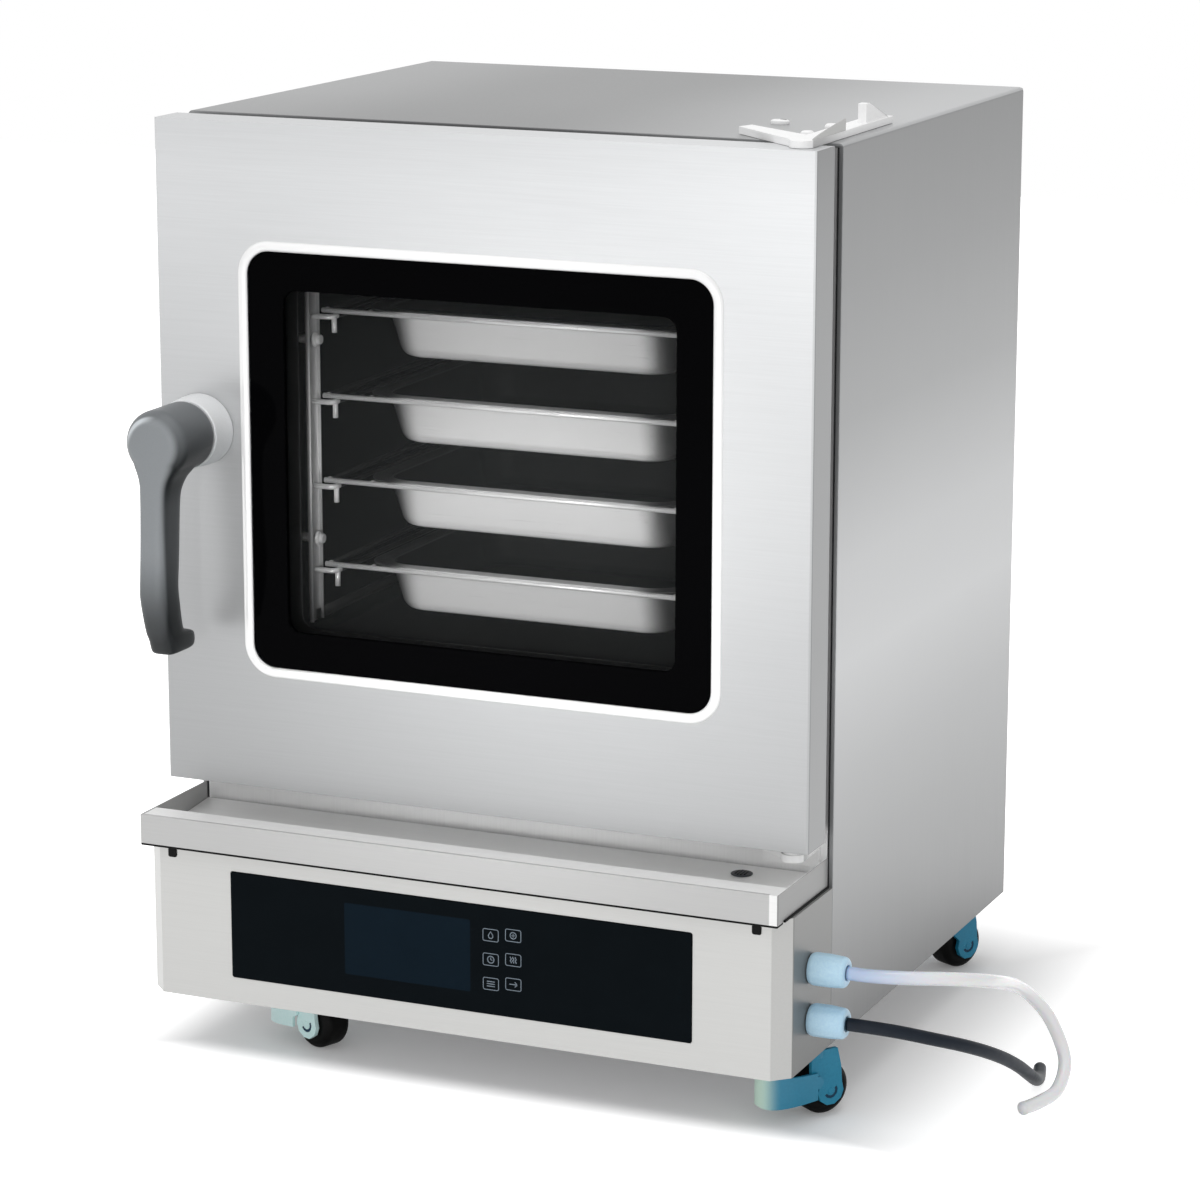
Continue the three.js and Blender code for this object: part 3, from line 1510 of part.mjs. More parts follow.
add(cabinet, "latch_keeper", latchKeeper(), plainSteel);
add(cabinet, "top_hinge_bracket", topHingeBracket(), castMetal);
add(cabinet, "bottom_hinge_bracket", bottomHingeBracket(), castMetal);
add(cabinet, "drip_tray", dripTray(), brushedSteel);
add(cabinet, "control_housing", controlHousing(), brushedSteel);
add(cabinet, "control_glass", controlGlass(), panelGlass);
add(cabinet, "display_module", displayModule(), screenBlue);
add(cabinet, "control_board", controlBoard(), boardGreen);

[["left", -plugX], ["right", plugX]].forEach(([side, x]) => {
  const plug = add(cabinet, `housing_plug_${side}`, housingPlug(), blackPlastic);
  plug.position.set(x, -housingDepth, base + plugLevel);
});

const wheelSets = [
  ["front_left", frontCasterLeftX, casterFrontY],
  ["front_right", frontCasterRightX, casterFrontY],
  ["rear_left", casterLeftX, casterRearY],
  ["rear_right", casterRightX, casterRearY],
];
wheelSets.forEach(([place, x, y], i) => {
  const plate = add(cabinet, `caster_mount_${place}`, casterMount(), plainSteel);
  plate.position.set(x, y, 0);
  const swivel = new THREE.Group();
  swivel.position.set(x, y, 0);
  swivel.rotation.z = THREE.MathUtils.degToRad(casterAnglesDegrees[i]);
  add(swivel, `caster_fork_${place}`, casterFork(), tealPlastic);
  const wheel = add(swivel, `caster_wheel_${place}`, casterWheel(), wheelRubber);
  wheel.position.set(casterTrail, 0, wheelRadius);
  if (y === casterFrontY) add(swivel, `caster_pedal_${place}`, casterPedal(), tealPlastic);
  cabinet.add(swivel);
});

// The origin is the middle of the footprint of everything but the glands and the two cords.
cabinet.updateMatrixWorld(true);
const footprint = new THREE.Box3().setFromObject(cabinet, true);
const middle = footprint.getCenter(new THREE.Vector3());
cabinet.position.set(-middle.x, -middle.y, -footprint.min.z);

const cords = [
  ["water_gland", "water_hose", waterGlandLevel, hoseRadius, hoseRouteShares, hoseStepCount],
  ["cable_gland", "power_cable", cableGlandLevel, cableRadius, cableRouteShares, cableStepCount],
];
cords.forEach(([cap, line, level, radius, routeShares, stepCount]) => {
  const mesh = add(cabinet, cap, gland(radius + seatGap), glandPlastic);
  mesh.position.set(halfWidth, glandY, base + level);
  const material = line === "water_hose" ? hosePlastic : cableRubber;
  add(cabinet, line, cord(routeShares, base + level, radius, stepCount), material);
});

export default cabinet;
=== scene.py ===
# %% [markdown]
# # A steaming cabinet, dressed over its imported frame
#
# The frame is the solid model of the cabinet, with one body for each thing that moves: the door,
# its handle, four shelves, the fan, the casters and their brake pedals. This lesson gives every
# surface its finish, and rebuilds the pieces whose roundness flat facets cannot show.

import math
from functools import partialmethod

import bmesh
import bpy
import numpy as np
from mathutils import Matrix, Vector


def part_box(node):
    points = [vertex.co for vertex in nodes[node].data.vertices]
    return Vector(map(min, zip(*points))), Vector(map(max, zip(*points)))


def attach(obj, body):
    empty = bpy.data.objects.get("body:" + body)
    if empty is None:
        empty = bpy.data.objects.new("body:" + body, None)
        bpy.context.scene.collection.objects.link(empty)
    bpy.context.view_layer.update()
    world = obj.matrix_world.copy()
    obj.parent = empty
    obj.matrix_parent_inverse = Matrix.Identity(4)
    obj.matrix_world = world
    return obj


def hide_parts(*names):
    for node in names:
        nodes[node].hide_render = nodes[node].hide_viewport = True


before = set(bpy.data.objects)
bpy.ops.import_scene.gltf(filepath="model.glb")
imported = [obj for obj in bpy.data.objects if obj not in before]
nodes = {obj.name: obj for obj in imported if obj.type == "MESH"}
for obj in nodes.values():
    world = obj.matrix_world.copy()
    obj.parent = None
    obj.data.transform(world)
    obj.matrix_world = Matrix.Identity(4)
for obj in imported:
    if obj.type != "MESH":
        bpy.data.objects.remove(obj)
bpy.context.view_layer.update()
scene = bpy.context.scene

# %% Measure the frame
MM = 0.001
SIDES = ((-1, "left"), (1, "right"))


def corners_of(node):
    """The lowest and the highest corner of a node, as two arrays."""
    return [np.array(corner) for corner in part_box(node)]


SHELL_LOW, SHELL_HIGH = corners_of("outer_shell")
FRONT, BASE = SHELL_LOW[1:]
CABINET_TOP = SHELL_HIGH[2]
HALF_WIDTH = (SHELL_HIGH[0] - SHELL_LOW[0]) / 2
MIDDLE = SHELL_HIGH[0] - HALF_WIDTH
BASE_MM, TOP_MM = BASE / MM, CABINET_TOP / MM


def in_frame(places):
    """Millimetres from the shell's middle, its front and the floor, into the frame's metres."""
    return np.array(places) * MM + [MIDDLE, FRONT, 0]


def added(name, data):
    """A new object in the scene."""
    made = bpy.data.objects.new(name, data)
    scene.collection.objects.link(made)
    return made


print("shell", round(2 * HALF_WIDTH / MM), "mm wide,", round(TOP_MM - BASE_MM), "mm high")

# %% [markdown]
# ## Camera
#
# The camera stands well to the right of the front, a little above the top, and so far away that
# its long lens keeps the edges nearly parallel. Its place is given as an angle round the cabinet,
# an angle above the floor and a distance.

# %% Place the camera
AZIMUTH = math.radians(23.52)
ELEVATION = math.radians(13.2)
ROLL = math.radians(-0.05)
DISTANCE = 3.8022
LENS = 120.82
TARGET = np.array([MIDDLE + 0.02672, FRONT + 0.15, BASE + 0.35241])

level = math.cos(ELEVATION)
backwards = np.array([math.sin(AZIMUTH) * level, -math.cos(AZIMUTH) * level, math.sin(ELEVATION)])
camera_data = bpy.data.cameras.new("camera")
camera_data.lens = LENS
camera_data.sensor_width = 36
camera_data.sensor_fit = "HORIZONTAL"
camera = added("camera", camera_data)
camera.location = TARGET + DISTANCE * backwards
camera.rotation_euler = (math.pi / 2 - ELEVATION, ROLL, AZIMUTH)
scene.camera = camera
print("camera at", [round(v, 3) for v in camera.location])

# %% [markdown]
# ## Shader maths
#
# Materials are easier to read as formulas than as wires. This class holds one output socket, and
# each operator on it adds the Math node that does the sum. Colours go through Mix nodes, because a
# Math node would turn them grey.


# %% A small class for shader maths
def colour(tone):
    """The four numbers of a colour, from three, or from one for a grey."""
    return (*(np.ones(3) * tone), 1)


class Value:
    """One output socket of a material. Sums on it add Math nodes."""

    def __init__(self, tree, socket):
        self.tree = tree
        self.socket = socket

    def node(self, kind, inputs=(), output=0, **settings):
        """Adds any node: its settings first, then the values or links of its sockets."""
        made = self.tree.nodes.new(kind)
        for name, value in settings.items():
            setattr(made, name, value)
        for key, value in dict(inputs).items():
            if isinstance(value, Value):
                self.tree.links.new(value.socket, made.inputs[key])
            else:
                made.inputs[key].default_value = value
        return Value(self.tree, made.outputs[output])

    def math(self, operation, other=0.0):
        return self.node("ShaderNodeMath", {0: self, 1: other}, operation=operation)

    __add__ = partialmethod(math, "ADD")
    __sub__ = partialmethod(math, "SUBTRACT")
    __mul__ = partialmethod(math, "MULTIPLY")
    __truediv__ = partialmethod(math, "DIVIDE")
    __abs__ = partialmethod(math, "ABSOLUTE")

    def __rsub__(self, other):
        return self.node("ShaderNodeMath", {0: other, 1: self}, operation="SUBTRACT")

    def most(self, other):
        """The greater of two."""
        return self.math("MAXIMUM", other)

    def step(self, low, high):
        """0 below low, 1 above high, and smooth between."""
        return self.node(
            "ShaderNodeMapRange", {0: self, 1: low, 2: high}, interpolation_type="SMOOTHSTEP"
        )

    def blend(self, first, second):
        """The colour first where this is 0, and second where it is 1."""
        first, second = (
            end if isinstance(end, Value) else colour(end) for end in (first, second)
        )
        return self.node(
            "ShaderNodeMix", {"Factor": self, 6: first, 7: second}, output=2, data_type="RGBA"
        )


def axes(place):
    """The three numbers of a vector socket."""
    split = place.node("ShaderNodeSeparateXYZ", {0: place})
    return [Value(place.tree, out) for out in split.socket.node.outputs]


def position(place):
    """Across from the shell's middle, back from its front and up from its base, in metres."""
    x, y, z = axes(place)
    return x - MIDDLE, y - FRONT, z - BASE


def noise(place, scale, detail=3.0, stretch=(1, 1, 1)):
    """Noise between 0 and 1. A stretch above 1 squeezes it along that axis."""
    mapped = place.node("ShaderNodeMapping", {0: place, 3: stretch})
    return place.node(
        "ShaderNodeTexNoise", {"Vector": mapped, "Scale": scale, "Detail": detail}
    )


def bump(place, height, strength, distance):
    return place.node(
        "ShaderNodeBump", {"Height": height, "Strength": strength, "Distance": distance}
    )


def finish(name, recipe, **sockets):
    """A Principled material. recipe gets the place on the piece and returns linked sockets."""
    material = bpy.data.materials.new(name)
    material.use_nodes = True
    tree = material.node_tree
    shader = tree.nodes["Principled BSDF"]
    for key, value in sockets.items():
        shader.inputs[key.replace("_", " ")].default_value = value
    place = Value(tree, tree.nodes.new("ShaderNodeTexCoord").outputs["Object"])
    for key, value in recipe(place).items():
        tree.links.new(value.socket, shader.inputs[key])
    return material


# %% [markdown]
# ## Surfaces from arrays
#
# A piece is a grid of points in one array: its rows run along the piece and its columns round it.
# Neighbouring points make the faces. The same maker serves the tubes, the turned parts and the
# pressed pans, so each later cell only gives its formula.


# %% Grids into meshes
def grid_faces(rows, columns, wrap_rows):
    """The four corners of each face, as places in the flattened grid."""
    r = np.arange(rows if wrap_rows else rows - 1)
    r, c = np.meshgrid(r, np.arange(columns), indexing="ij")
    below, right = (r + 1) % rows, (c + 1) % columns
    corners = ((r, c), (r, right), (below, right), (below, c))
    return np.stack([row * columns + column for row, column in corners], -1).reshape(-1, 4)


def mesh_object(name, points, faces):
    """A smooth shaded object from points and faces."""
    mesh = bpy.data.meshes.new(name)
    mesh.from_pydata(points.tolist(), [], faces)
    mesh.validate()
    mesh.shade_smooth()
    return added(name, mesh)


def skin(name, grid, wrap_rows=False, capped=True):
    """A piece from a grid of points. Open ends are closed with one face each."""
    rows, columns = grid.shape[:2]
    faces = grid_faces(rows, columns, wrap_rows).tolist()
    if capped and not wrap_rows:
        faces.append(list(range(columns))[::-1])
        faces.append(list(range((rows - 1) * columns, rows * columns)))
    made = mesh_object(name, grid.reshape(-1, 3), faces)
    face_outwards(made)
    return made


def face_outwards(piece):
    """Merges doubled corners and turns every face to the outside."""
    shape = bmesh.new()
    shape.from_mesh(piece.data)
    bmesh.ops.remove_doubles(shape, verts=shape.verts, dist=1e-6)
    bmesh.ops.recalc_face_normals(shape, faces=shape.faces)
    shape.to_mesh(piece.data)
    shape.free()


def joined(name, parts):
    """Several meshes as one piece."""
    with bpy.context.temp_override(active_object=parts[0], selected_editable_objects=parts):
        bpy.ops.object.join()
    parts[0].name = name
    parts[0].data.name = name
    return parts[0]


def bevelled(piece, width, segments=3, angle=30):
    """Rounds the sharp edges of a piece."""
    rounding = piece.modifiers.new("rounding", "BEVEL")
    rounding.width = width
    rounding.segments = segments
    rounding.limit_method = "ANGLE"
    rounding.angle_limit = math.radians(angle)
    level = piece.modifiers.new("level_faces", "WEIGHTED_NORMAL")
    level.keep_sharp = True
    return piece


def dress(piece, body, material, stands_for=()):
    """Gives a piece its finish, its body and the node that it stands for."""
    piece.data.materials.clear()
    piece.data.materials.append(material)
    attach(piece, body)
    if stands_for:
        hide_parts(*stands_for)


# %% Turned and swept shapes
STEEP = 0.9  # the share along Z above which a direction counts as upright


def unit(vectors):
    """Directions of length 1."""
    return vectors / np.linalg.norm(vectors, axis=-1, keepdims=True)


def turned(profile, centre, axis, count):
    """A profile of (radius, height) turned about a unit axis: height runs along it."""
    axis = np.array(axis, float)
    side = unit(np.cross(axis, [0, 0, 1] if abs(axis[2]) < STEEP else [1, 0, 0]))
    angle = np.linspace(0, 2 * np.pi, count, endpoint=False)[:, None]
    round_axis = np.cos(angle) * side + np.sin(angle) * np.cross(axis, side)
    radius, height = profile.T[:, :, None, None]
    return np.array(centre) + radius * round_axis + height * axis


def rounded_profile(pairs, radius, steps):
    """A line through points whose inner corners are replaced by arcs, as quadratic bends."""
    pairs = np.array(pairs, float)
    before, corner, after = pairs[:-2], pairs[1:-1], pairs[2:]
    start, end = (
        corner + way * np.minimum(radius / np.linalg.norm(way, axis=1), 0.49)[:, None]
        for way in (before - corner, after - corner)
    )
    start, corner, end = start[:, None], corner[:, None], end[:, None]
    t = np.linspace(0, 1, steps)[None, :, None]
    arc = (1 - t) ** 2 * start + 2 * t * (1 - t) * corner + t**2 * end
    return np.concatenate([pairs[:1], arc.reshape(-1, pairs.shape[1]), pairs[-1:]])


def swept(path, section):
    """A section of (side, up) pairs carried along a path, and turned as little as possible."""
    path, section = np.array(path, float), np.array(section, float)
    tangent = unit(np.gradient(path, axis=0))
    side = np.zeros_like(path)
    side[0] = unit(np.cross(tangent[0], [0, 0, 1] if abs(tangent[0][2]) < STEEP else [0, 1, 0]))
    for i in range(1, len(path)):
        side[i] = unit(side[i - 1] - tangent[i] * np.dot(side[i - 1], tangent[i]))
    up = np.cross(tangent, side)
    right, rise = section.T[:, None, :, None]
    return path[:, None] + right * side[:, None] + rise * up[:, None]


def wire(name, path, radius, count=16):
    """A round tube along a path."""
    angle = np.linspace(0, 2 * np.pi, count, endpoint=False)
    return skin(name, swept(path, radius * np.stack([np.cos(angle), np.sin(angle)], axis=1)))


def rounded_rectangle(half_x, half_y, radius, steps):
    """The outline of a rectangle with round corners, as an array of (x, y)."""
    turn = np.linspace(0, np.pi / 2, steps)
    quarter = np.arange(4)[:, None] * np.pi / 2 + turn[None]
    signs = np.array([[1, 1], [-1, 1], [-1, -1], [1, -1]])
    centre = signs * [half_x - radius, half_y - radius]
    arc = np.stack([np.cos(quarter), np.sin(quarter)], axis=-1) * radius
    return (centre[:, None] + arc).reshape(-1, 2)


def rectangle(x0, x1, y0, y1):
    return np.array([(x0, y0), (x1, y0), (x1, y1), (x0, y1)])


def standing(flat, y, x=0.0, z=0.0):
    """A flat outline set upright, in X and Z, at one depth."""
    return np.stack([flat[:, 0] + x, np.full(len(flat), y), flat[:, 1] + z], axis=1)


def lying(flat, z, x=0.0, y=0.0):
    """A flat outline laid level, in X and Y, at one height."""
    return np.stack([flat[:, 0] + x, flat[:, 1] + y, np.full(len(flat), z)], axis=1)


def upright(name, section, low, high):
    """A section in X and Y carried straight up."""
    return skin(name, in_frame([lying(section, height) for height in (low, high)]))


def turned_piece(name, pairs, soft, steps, seat, axis, count):
    """A profile in millimetres, its corners rounded, turned about an axis at its seat."""
    profile = rounded_profile(pairs, soft, steps) * MM
    return skin(name, turned(profile, in_frame(seat), axis, count), capped=False)


print("makers ready")

# %% [markdown]
# ## Water hose and power cable
#
# Both leave the right wall of the control housing through pale glands, reach out sideways and come
# down to the floor under their own weight. The photograph shows each from end to end, so the
# length is what it shows. The routes repeat the points of the solid model.

# %% Lay the cords
CORD_START = 355.3
CORD_REACH = 140
GLAND_Y = -53.5
HOSE_SHARES = [
    (0, 0, 1), (0.1407, 0, 1), (0.3521, 0.0564, 0.9975), (0.5364, 0.1929, 0.9786),
    (0.6586, 0.3743, 0.939), (0.72, 0.5771, 0.8836), (0.7364, 0.7821, 0.8226),
    (0.7321, 0.9893, 0.7585), (0.735, 1.2107, 0.6786), (0.7736, 1.4157, 0.5648),
    (0.8621, 1.5536, 0.3969), (0.9714, 1.535, 0.1755), (0.9921, 1.3221, 0.0585),
    (0.9429, 1.1043, 0.0403), (0.8771, 0.9321, 0.0403),
]
CABLE_SHARES = [
    (0, 0, 1), (0.1264, 0, 1), (0.3264, 0.0464, 0.9731), (0.5121, 0.1536, 0.9058),
    (0.655, 0.3107, 0.8161), (0.755, 0.4964, 0.704), (0.8193, 0.6964, 0.574),
    (0.855, 0.8964, 0.4305), (0.8621, 1.0964, 0.2825), (0.8479, 1.3036, 0.148),
    (0.805, 1.5107, 0.0682), (0.7479, 1.7179, 0.0556),
]
HOSE_LEVEL = 159
CABLE_LEVEL = 111.5
CORD_SIDES = 24


def route(shares, level):
    """Shares of the reach sideways and back, and of the gland's height, as millimetres."""
    scale = [CORD_REACH, CORD_REACH, level]
    return np.array(shares) * scale + [CORD_START, GLAND_Y, 0]


def through(points, each=8):
    """A smooth path through points: a cubic between neighbours with centripetal spacing."""
    padded = np.vstack([2 * points[0] - points[1], points, 2 * points[-1] - points[-2]])
    gaps = np.linalg.norm(np.diff(padded, axis=0), axis=1) ** 0.5
    p0, p1, p2, p3 = padded[:-3], padded[1:-2], padded[2:-1], padded[3:]
    d0, d1, d2 = gaps[:-2, None], gaps[1:-1, None], gaps[2:, None]
    m1 = ((p1 - p0) / d0 - (p2 - p0) / (d0 + d1) + (p2 - p1) / d1) * d1
    m2 = ((p2 - p1) / d1 - (p3 - p1) / (d1 + d2) + (p3 - p2) / d2) * d1
    t = np.linspace(0, 1, each, endpoint=False)[None, :, None]
    p1, p2, m1, m2 = p1[:, None], p2[:, None], m1[:, None], m2[:, None]
    curve = (
        (2 * t**3 - 3 * t**2 + 1) * p1
        + (t**3 - 2 * t**2 + t) * m1
        + (3 * t**2 - 2 * t**3) * p2
        + (t**3 - t**2) * m2
    )
    return np.vstack([curve.reshape(-1, points.shape[1]), points[-1]])


def length_of(path):
    return float(np.linalg.norm(np.diff(path, axis=0), axis=1).sum())


hose_finish = finish(
    "milky_hose",
    lambda place: {
        "Base Color": position(place)[0].step(0.355, 0.45).blend(
            (0.47, 0.60, 0.82), (0.92, 0.93, 0.95)
        ),
        "Roughness": noise(place, 60) * 0.1 + 0.2,
    },
    Subsurface_Weight=0.3,
    Subsurface_Scale=0.01,
    Coat_Weight=0.3,
)
cable_finish = finish(
    "cable_rubber",
    lambda place: {
        "Base Color": noise(place, 90).blend((0.002, 0.005, 0.011), (0.006, 0.012, 0.022)),
        "Roughness": noise(place, 200) * 0.2 + 0.35,
    },
    Specular_IOR_Level=0.2,
)
CORDS = [
    ("water_hose", "tube", HOSE_SHARES, HOSE_LEVEL, 6.2 * MM, hose_finish, "hose_plastic"),
    ("power_cable", "lead", CABLE_SHARES, CABLE_LEVEL, 6.0 * MM, cable_finish, "cable_rubber"),
]
for node, kind, shares, level, radius, material, slot in CORDS:
    path = through(in_frame(route(shares, level)))
    cord = wire(f"{node}_{kind}", path, radius, CORD_SIDES)
    dress(cord, "cabinet", material, [node])
    print(node, round(length_of(path), 3), "m")

# %% [markdown]
# ## Brushed steel
#
# The whole cabinet is satin steel, so one recipe makes all of it. Streaks are a noise that is
# squeezed across the brushing and left long along it. The same streaks change the tone a little,
# the roughness a little more, and lift the normal, so they catch the light from any side. A slow
# noise stops large panels from being one flat tone, and a shade function for each sheet paints
# light and shade into its colour: painted reflections of something bright or dark, and painted
# shade.


# %% Tones over the steel
SHELL_HEIGHT = CABINET_TOP - BASE
DOOR_LOW, DOOR_HIGH = (corner[2] - BASE for corner in corners_of("door_skin"))
TRAY_FRONT = corners_of("drip_tray")[0][1] - FRONT
TRAY_HALF = HALF_WIDTH - 0.004
WINDOW_MIDDLE = 0.5055


def ramp(share, stops):
    """A factor that follows a share, from (share, factor) pairs."""
    made = share.node("ShaderNodeValToRGB", {0: share})
    elements = made.socket.node.color_ramp.elements
    while len(elements) < len(stops):
        elements.new(0.5)
    for element, (where, factor) in zip(elements, stops):
        element.position = where
        element.color = colour(factor)
    return made


def inside_rounded(x, z, half_x, half_z, radius, soft):
    """1 inside a rounded rectangle about the middle of x and z, and 0 outside."""
    out_x = (abs(x) - (half_x - radius)).most(0)
    out_z = (abs(z) - (half_z - radius)).most(0)
    distance = (out_x * out_x + out_z * out_z).math("SQRT")
    return 1.0 - distance.step(radius - soft, radius + soft)


def shell_shade(across, back, up):
    """Painted reflection and shade: a bright band low on the sides, a top darker at left and
    front.
    """
    side = ramp(
        up / SHELL_HEIGHT,
        [(0.0, 0.225), (0.2, 0.37), (0.3, 0.46), (0.43, 0.63), (0.54, 0.585), (0.7, 0.39),
         (0.85, 0.325), (1.0, 0.30)],
    )
    top = across.step(0, HALF_WIDTH) * 0.34 + 0.38 - across.step(-HALF_WIDTH, -0.1) * 0.13
    top = top * (back.step(0, 0.25) * 0.13 + 0.87)
    on_top = up.step(SHELL_HEIGHT - 0.003, SHELL_HEIGHT - 0.002)
    return side + (top - side) * on_top


def door_shade(across, back, up):
    """Painted light and shade: brightest near the top and to the right, darker on the right edge
    face.
    """
    height = (up - DOOR_LOW) / (DOOR_HIGH - DOOR_LOW)
    fall = ramp(
        height,
        [(0.0, 0.58), (0.3, 0.66), (0.62, 0.84), (0.85, 0.98), (0.93, 1.0), (1.0, 0.94)],
    )
    edge = across.step(HALF_WIDTH - 0.0008, HALF_WIDTH - 0.0003) * (height * 0.28 + 0.39)
    return fall * (across.step(-HALF_WIDTH, HALF_WIDTH) * 0.14 + 0.76) * (1.0 - edge)


def housing_shade(across, back, up):
    """Painted shade on the cut corners and the right wall of the housing, turned away from the
    light.
    """
    corner = across.step(HALF_WIDTH - 0.0152, HALF_WIDTH - 0.0148)
    wall = across.step(HALF_WIDTH - 0.001, HALF_WIDTH - 0.0003)
    return 1.0 - corner * 0.14 - wall * 0.49


def tray_shade(across, back, up):
    """Painted light on the tray: bright inside as bounce light and at one fold, painted shade on
    its ends.
    """
    inside = back.step(TRAY_FRONT + 0.0025, TRAY_FRONT + 0.0035)
    end = across.step(TRAY_HALF - 0.0008, TRAY_HALF - 0.0003)
    fold = across.step(TRAY_HALF - 0.0085, TRAY_HALF - 0.0075) * (1.0 - inside)
    left = 1.0 - across.step(-TRAY_HALF + 0.0025, -TRAY_HALF + 0.0035)
    return inside * 0.58 + 0.67 + fold * 0.5 - end * 0.89 - left * inside * 0.69


def frame_shade(across, back, up):
    """Painted light: the strip under the door is painted bright, the sheet behind the door half as
    bright.
    """
    return 1.0 - up.step(DOOR_LOW + 0.002, DOOR_LOW + 0.012) * 0.5


def panel_shade(across, back, up):
    """The inner sheet of the door is near-black round the window, and steel beyond."""
    return 1.0 - inside_rounded(across, up - WINDOW_MIDDLE, 0.236, 0.205, 0.02, 0.0005) * 0.97


def pan_shade(across, back, up):
    """Painted reflection: round pan corners painted dark like the cavity, upper pans a little
    darker.
    """
    corner = abs(across).step(0.108, 0.138)
    return (1.0 - corner * 0.9) * (1.0 - up.step(0.38, 0.60) * 0.2)


def rack_shade(across, back, up):
    """Painted shade: all behind the front edge of a rack or a shelf is painted nearly black."""
    return 1.0 - back.step(0.033, 0.037) * 0.97


# %% Steel finishes
def brushed(name, tone, run="x", metallic=0.45, roughness=0.36, shade=None):
    """Satin steel. run is the way of the brushing; shade paints light and shade in from the
    position.
    """
    squeeze = {"x": (1, 60, 60), "z": (60, 60, 1)}[run]
    middle_level = 0.8

    def recipe(place):
        streak = noise(place, 14, 5, squeeze)
        cloud = noise(place, 2.2, 2)
        level = (streak - 0.5) * 0.09 + (cloud - 0.5) * 0.07 + middle_level
        if shade:
            level = level * shade(*position(place))
        return {
            "Base Color": level.blend(0, np.divide(tone, middle_level)),
            "Roughness": streak * 0.14 + (roughness - 0.07),
            "Normal": bump(place, streak, 0.1, 0.0002),
        }

    return finish(name, recipe, Metallic=metallic)


shell_steel = brushed("shell_steel", (0.76, 0.77, 0.78), "z", shade=shell_shade)
door_steel = brushed("door_steel", (0.78, 0.79, 0.80), shade=door_shade)
housing_steel = brushed("housing_steel", (0.51, 0.51, 0.50), shade=housing_shade)
tray_steel = brushed("tray_steel", (0.80, 0.80, 0.795), metallic=0.1, shade=tray_shade)
frame_steel = brushed("frame_steel", 0.94, "z", 0.1, shade=frame_shade)
panel_steel = brushed("panel_steel", (0.50, 0.50, 0.51), roughness=0.5, shade=panel_shade)
plain_steel = brushed("plain_steel", (0.42, 0.42, 0.43), roughness=0.5)
pan_steel = brushed("pan_steel", 0.95, "x", 0.1, 0.3, pan_shade)
# Painted shade: a near-black copy of the pan steel for the inner faces of the pans.
pan_inside_shade = brushed("pan_inside_shade", 0.008, "x", 0.3, 0.4)
rack_steel = brushed("rack_steel", 0.98, "z", 0.2, 0.3, rack_shade)
print("finishes so far:", len(bpy.data.materials))

# %% [markdown]
# ## Other finishes
#
# The cavity's black, plastics, rubber and paint share one recipe: a fine noise changes the tone a
# little, and the roughness and a shallow bump follow it. What differs is the scale of the grain,
# which tells plastic from rubber, and the shine. The handle, its ring and the hinges add painted
# light and shade by place.


# %% Finishes that are not brushed
def moulded(name, dark, light, grain, roughness, bumpiness=0.08, tone=None, spread=0.16,
            shine=0.5, metallic=0.0):
    """A finish with grain: roughness and bump follow one noise, and tone runs dark to light."""

    def recipe(place):
        speck = noise(place, grain, 4)
        if tone:
            level = tone(speck, *position(place))
        else:
            level = (speck * 0.5 + noise(place, 9, 2) * 0.5).step(0.3, 0.7)
        return {
            "Base Color": level.blend(dark, light),
            "Roughness": speck * spread + (roughness - spread / 2),
            "Normal": bump(place, speck, bumpiness, 0.0003),
        }

    return finish(name, recipe, Specular_IOR_Level=shine, Metallic=metallic)


def handle_tone(speck, across, back, up):
    """Painted light and shade: a pale face, a lever darker downwards, a highlight on the hub's
    rim.
    """
    face = 1.0 - back.step(-0.1592, -0.1535)
    flank = up.step(0.510, 0.556) * 0.56 + 0.04 + (1.0 - up.step(0.47, 0.50)) * 0.20
    # Painted shade: the lever is painted darker towards its lower end.
    lever_downward_shade = up.step(0.355, 0.440) * 0.88 + 0.12
    # Painted highlight on the hub's rim at its upper left.
    rim = back.step(-0.1594, -0.1578) * (1.0 - back.step(-0.1562, -0.1535))
    upper_left = (up - across).step(0.828, 0.846)
    level = (face * (0.95 - flank) + flank) * lever_downward_shade * (speck * 0.1 + 0.95) * 0.44
    return level + rim * upper_left * 0.85


def collar_tone(speck, across, back, up):
    """Painted shade: the ring is painted pale on top and deeper below."""
    return up.step(0.500, 0.560) * 0.8 + speck * 0.2


def paint_tone(speck, across, back, up):
    """White paint, with painted shade on the outer side face of the upper plate."""
    return (speck * 0.06 + 0.94) * (1.0 - across.step(0.3084, 0.3089) * 0.5)


TEAL = (0.010, 0.20, 0.34), (0.018, 0.25, 0.40)
# Painted shade: a near-black finish for the cavity, standing in for the dark inside it.
cavity_black = moulded("cavity_painted_shade", 0.001, 0.002, 500, 0.4, shine=0.15)
handle_plastic = moulded(
    "handle_plastic", (0.006, 0.008, 0.009), (0.62, 0.655, 0.684), 700, 0.37, 0.05, handle_tone,
    0.14, 0.22,
)
collar_plastic = moulded(
    "collar_plastic", (0.42, 0.44, 0.45), (0.96, 0.97, 0.98), 700, 0.42, 0.05, collar_tone
)
seal_rubber = moulded("seal_rubber", (0.02, 0.02, 0.022), (0.035, 0.035, 0.037), 300, 0.7, 0.2)
black_plastic = moulded("black_plastic", 0.001, 0.003, 600, 0.4, shine=0.1)
teal_plastic = moulded("teal_plastic", *TEAL, 400, 0.35, shine=0.3)
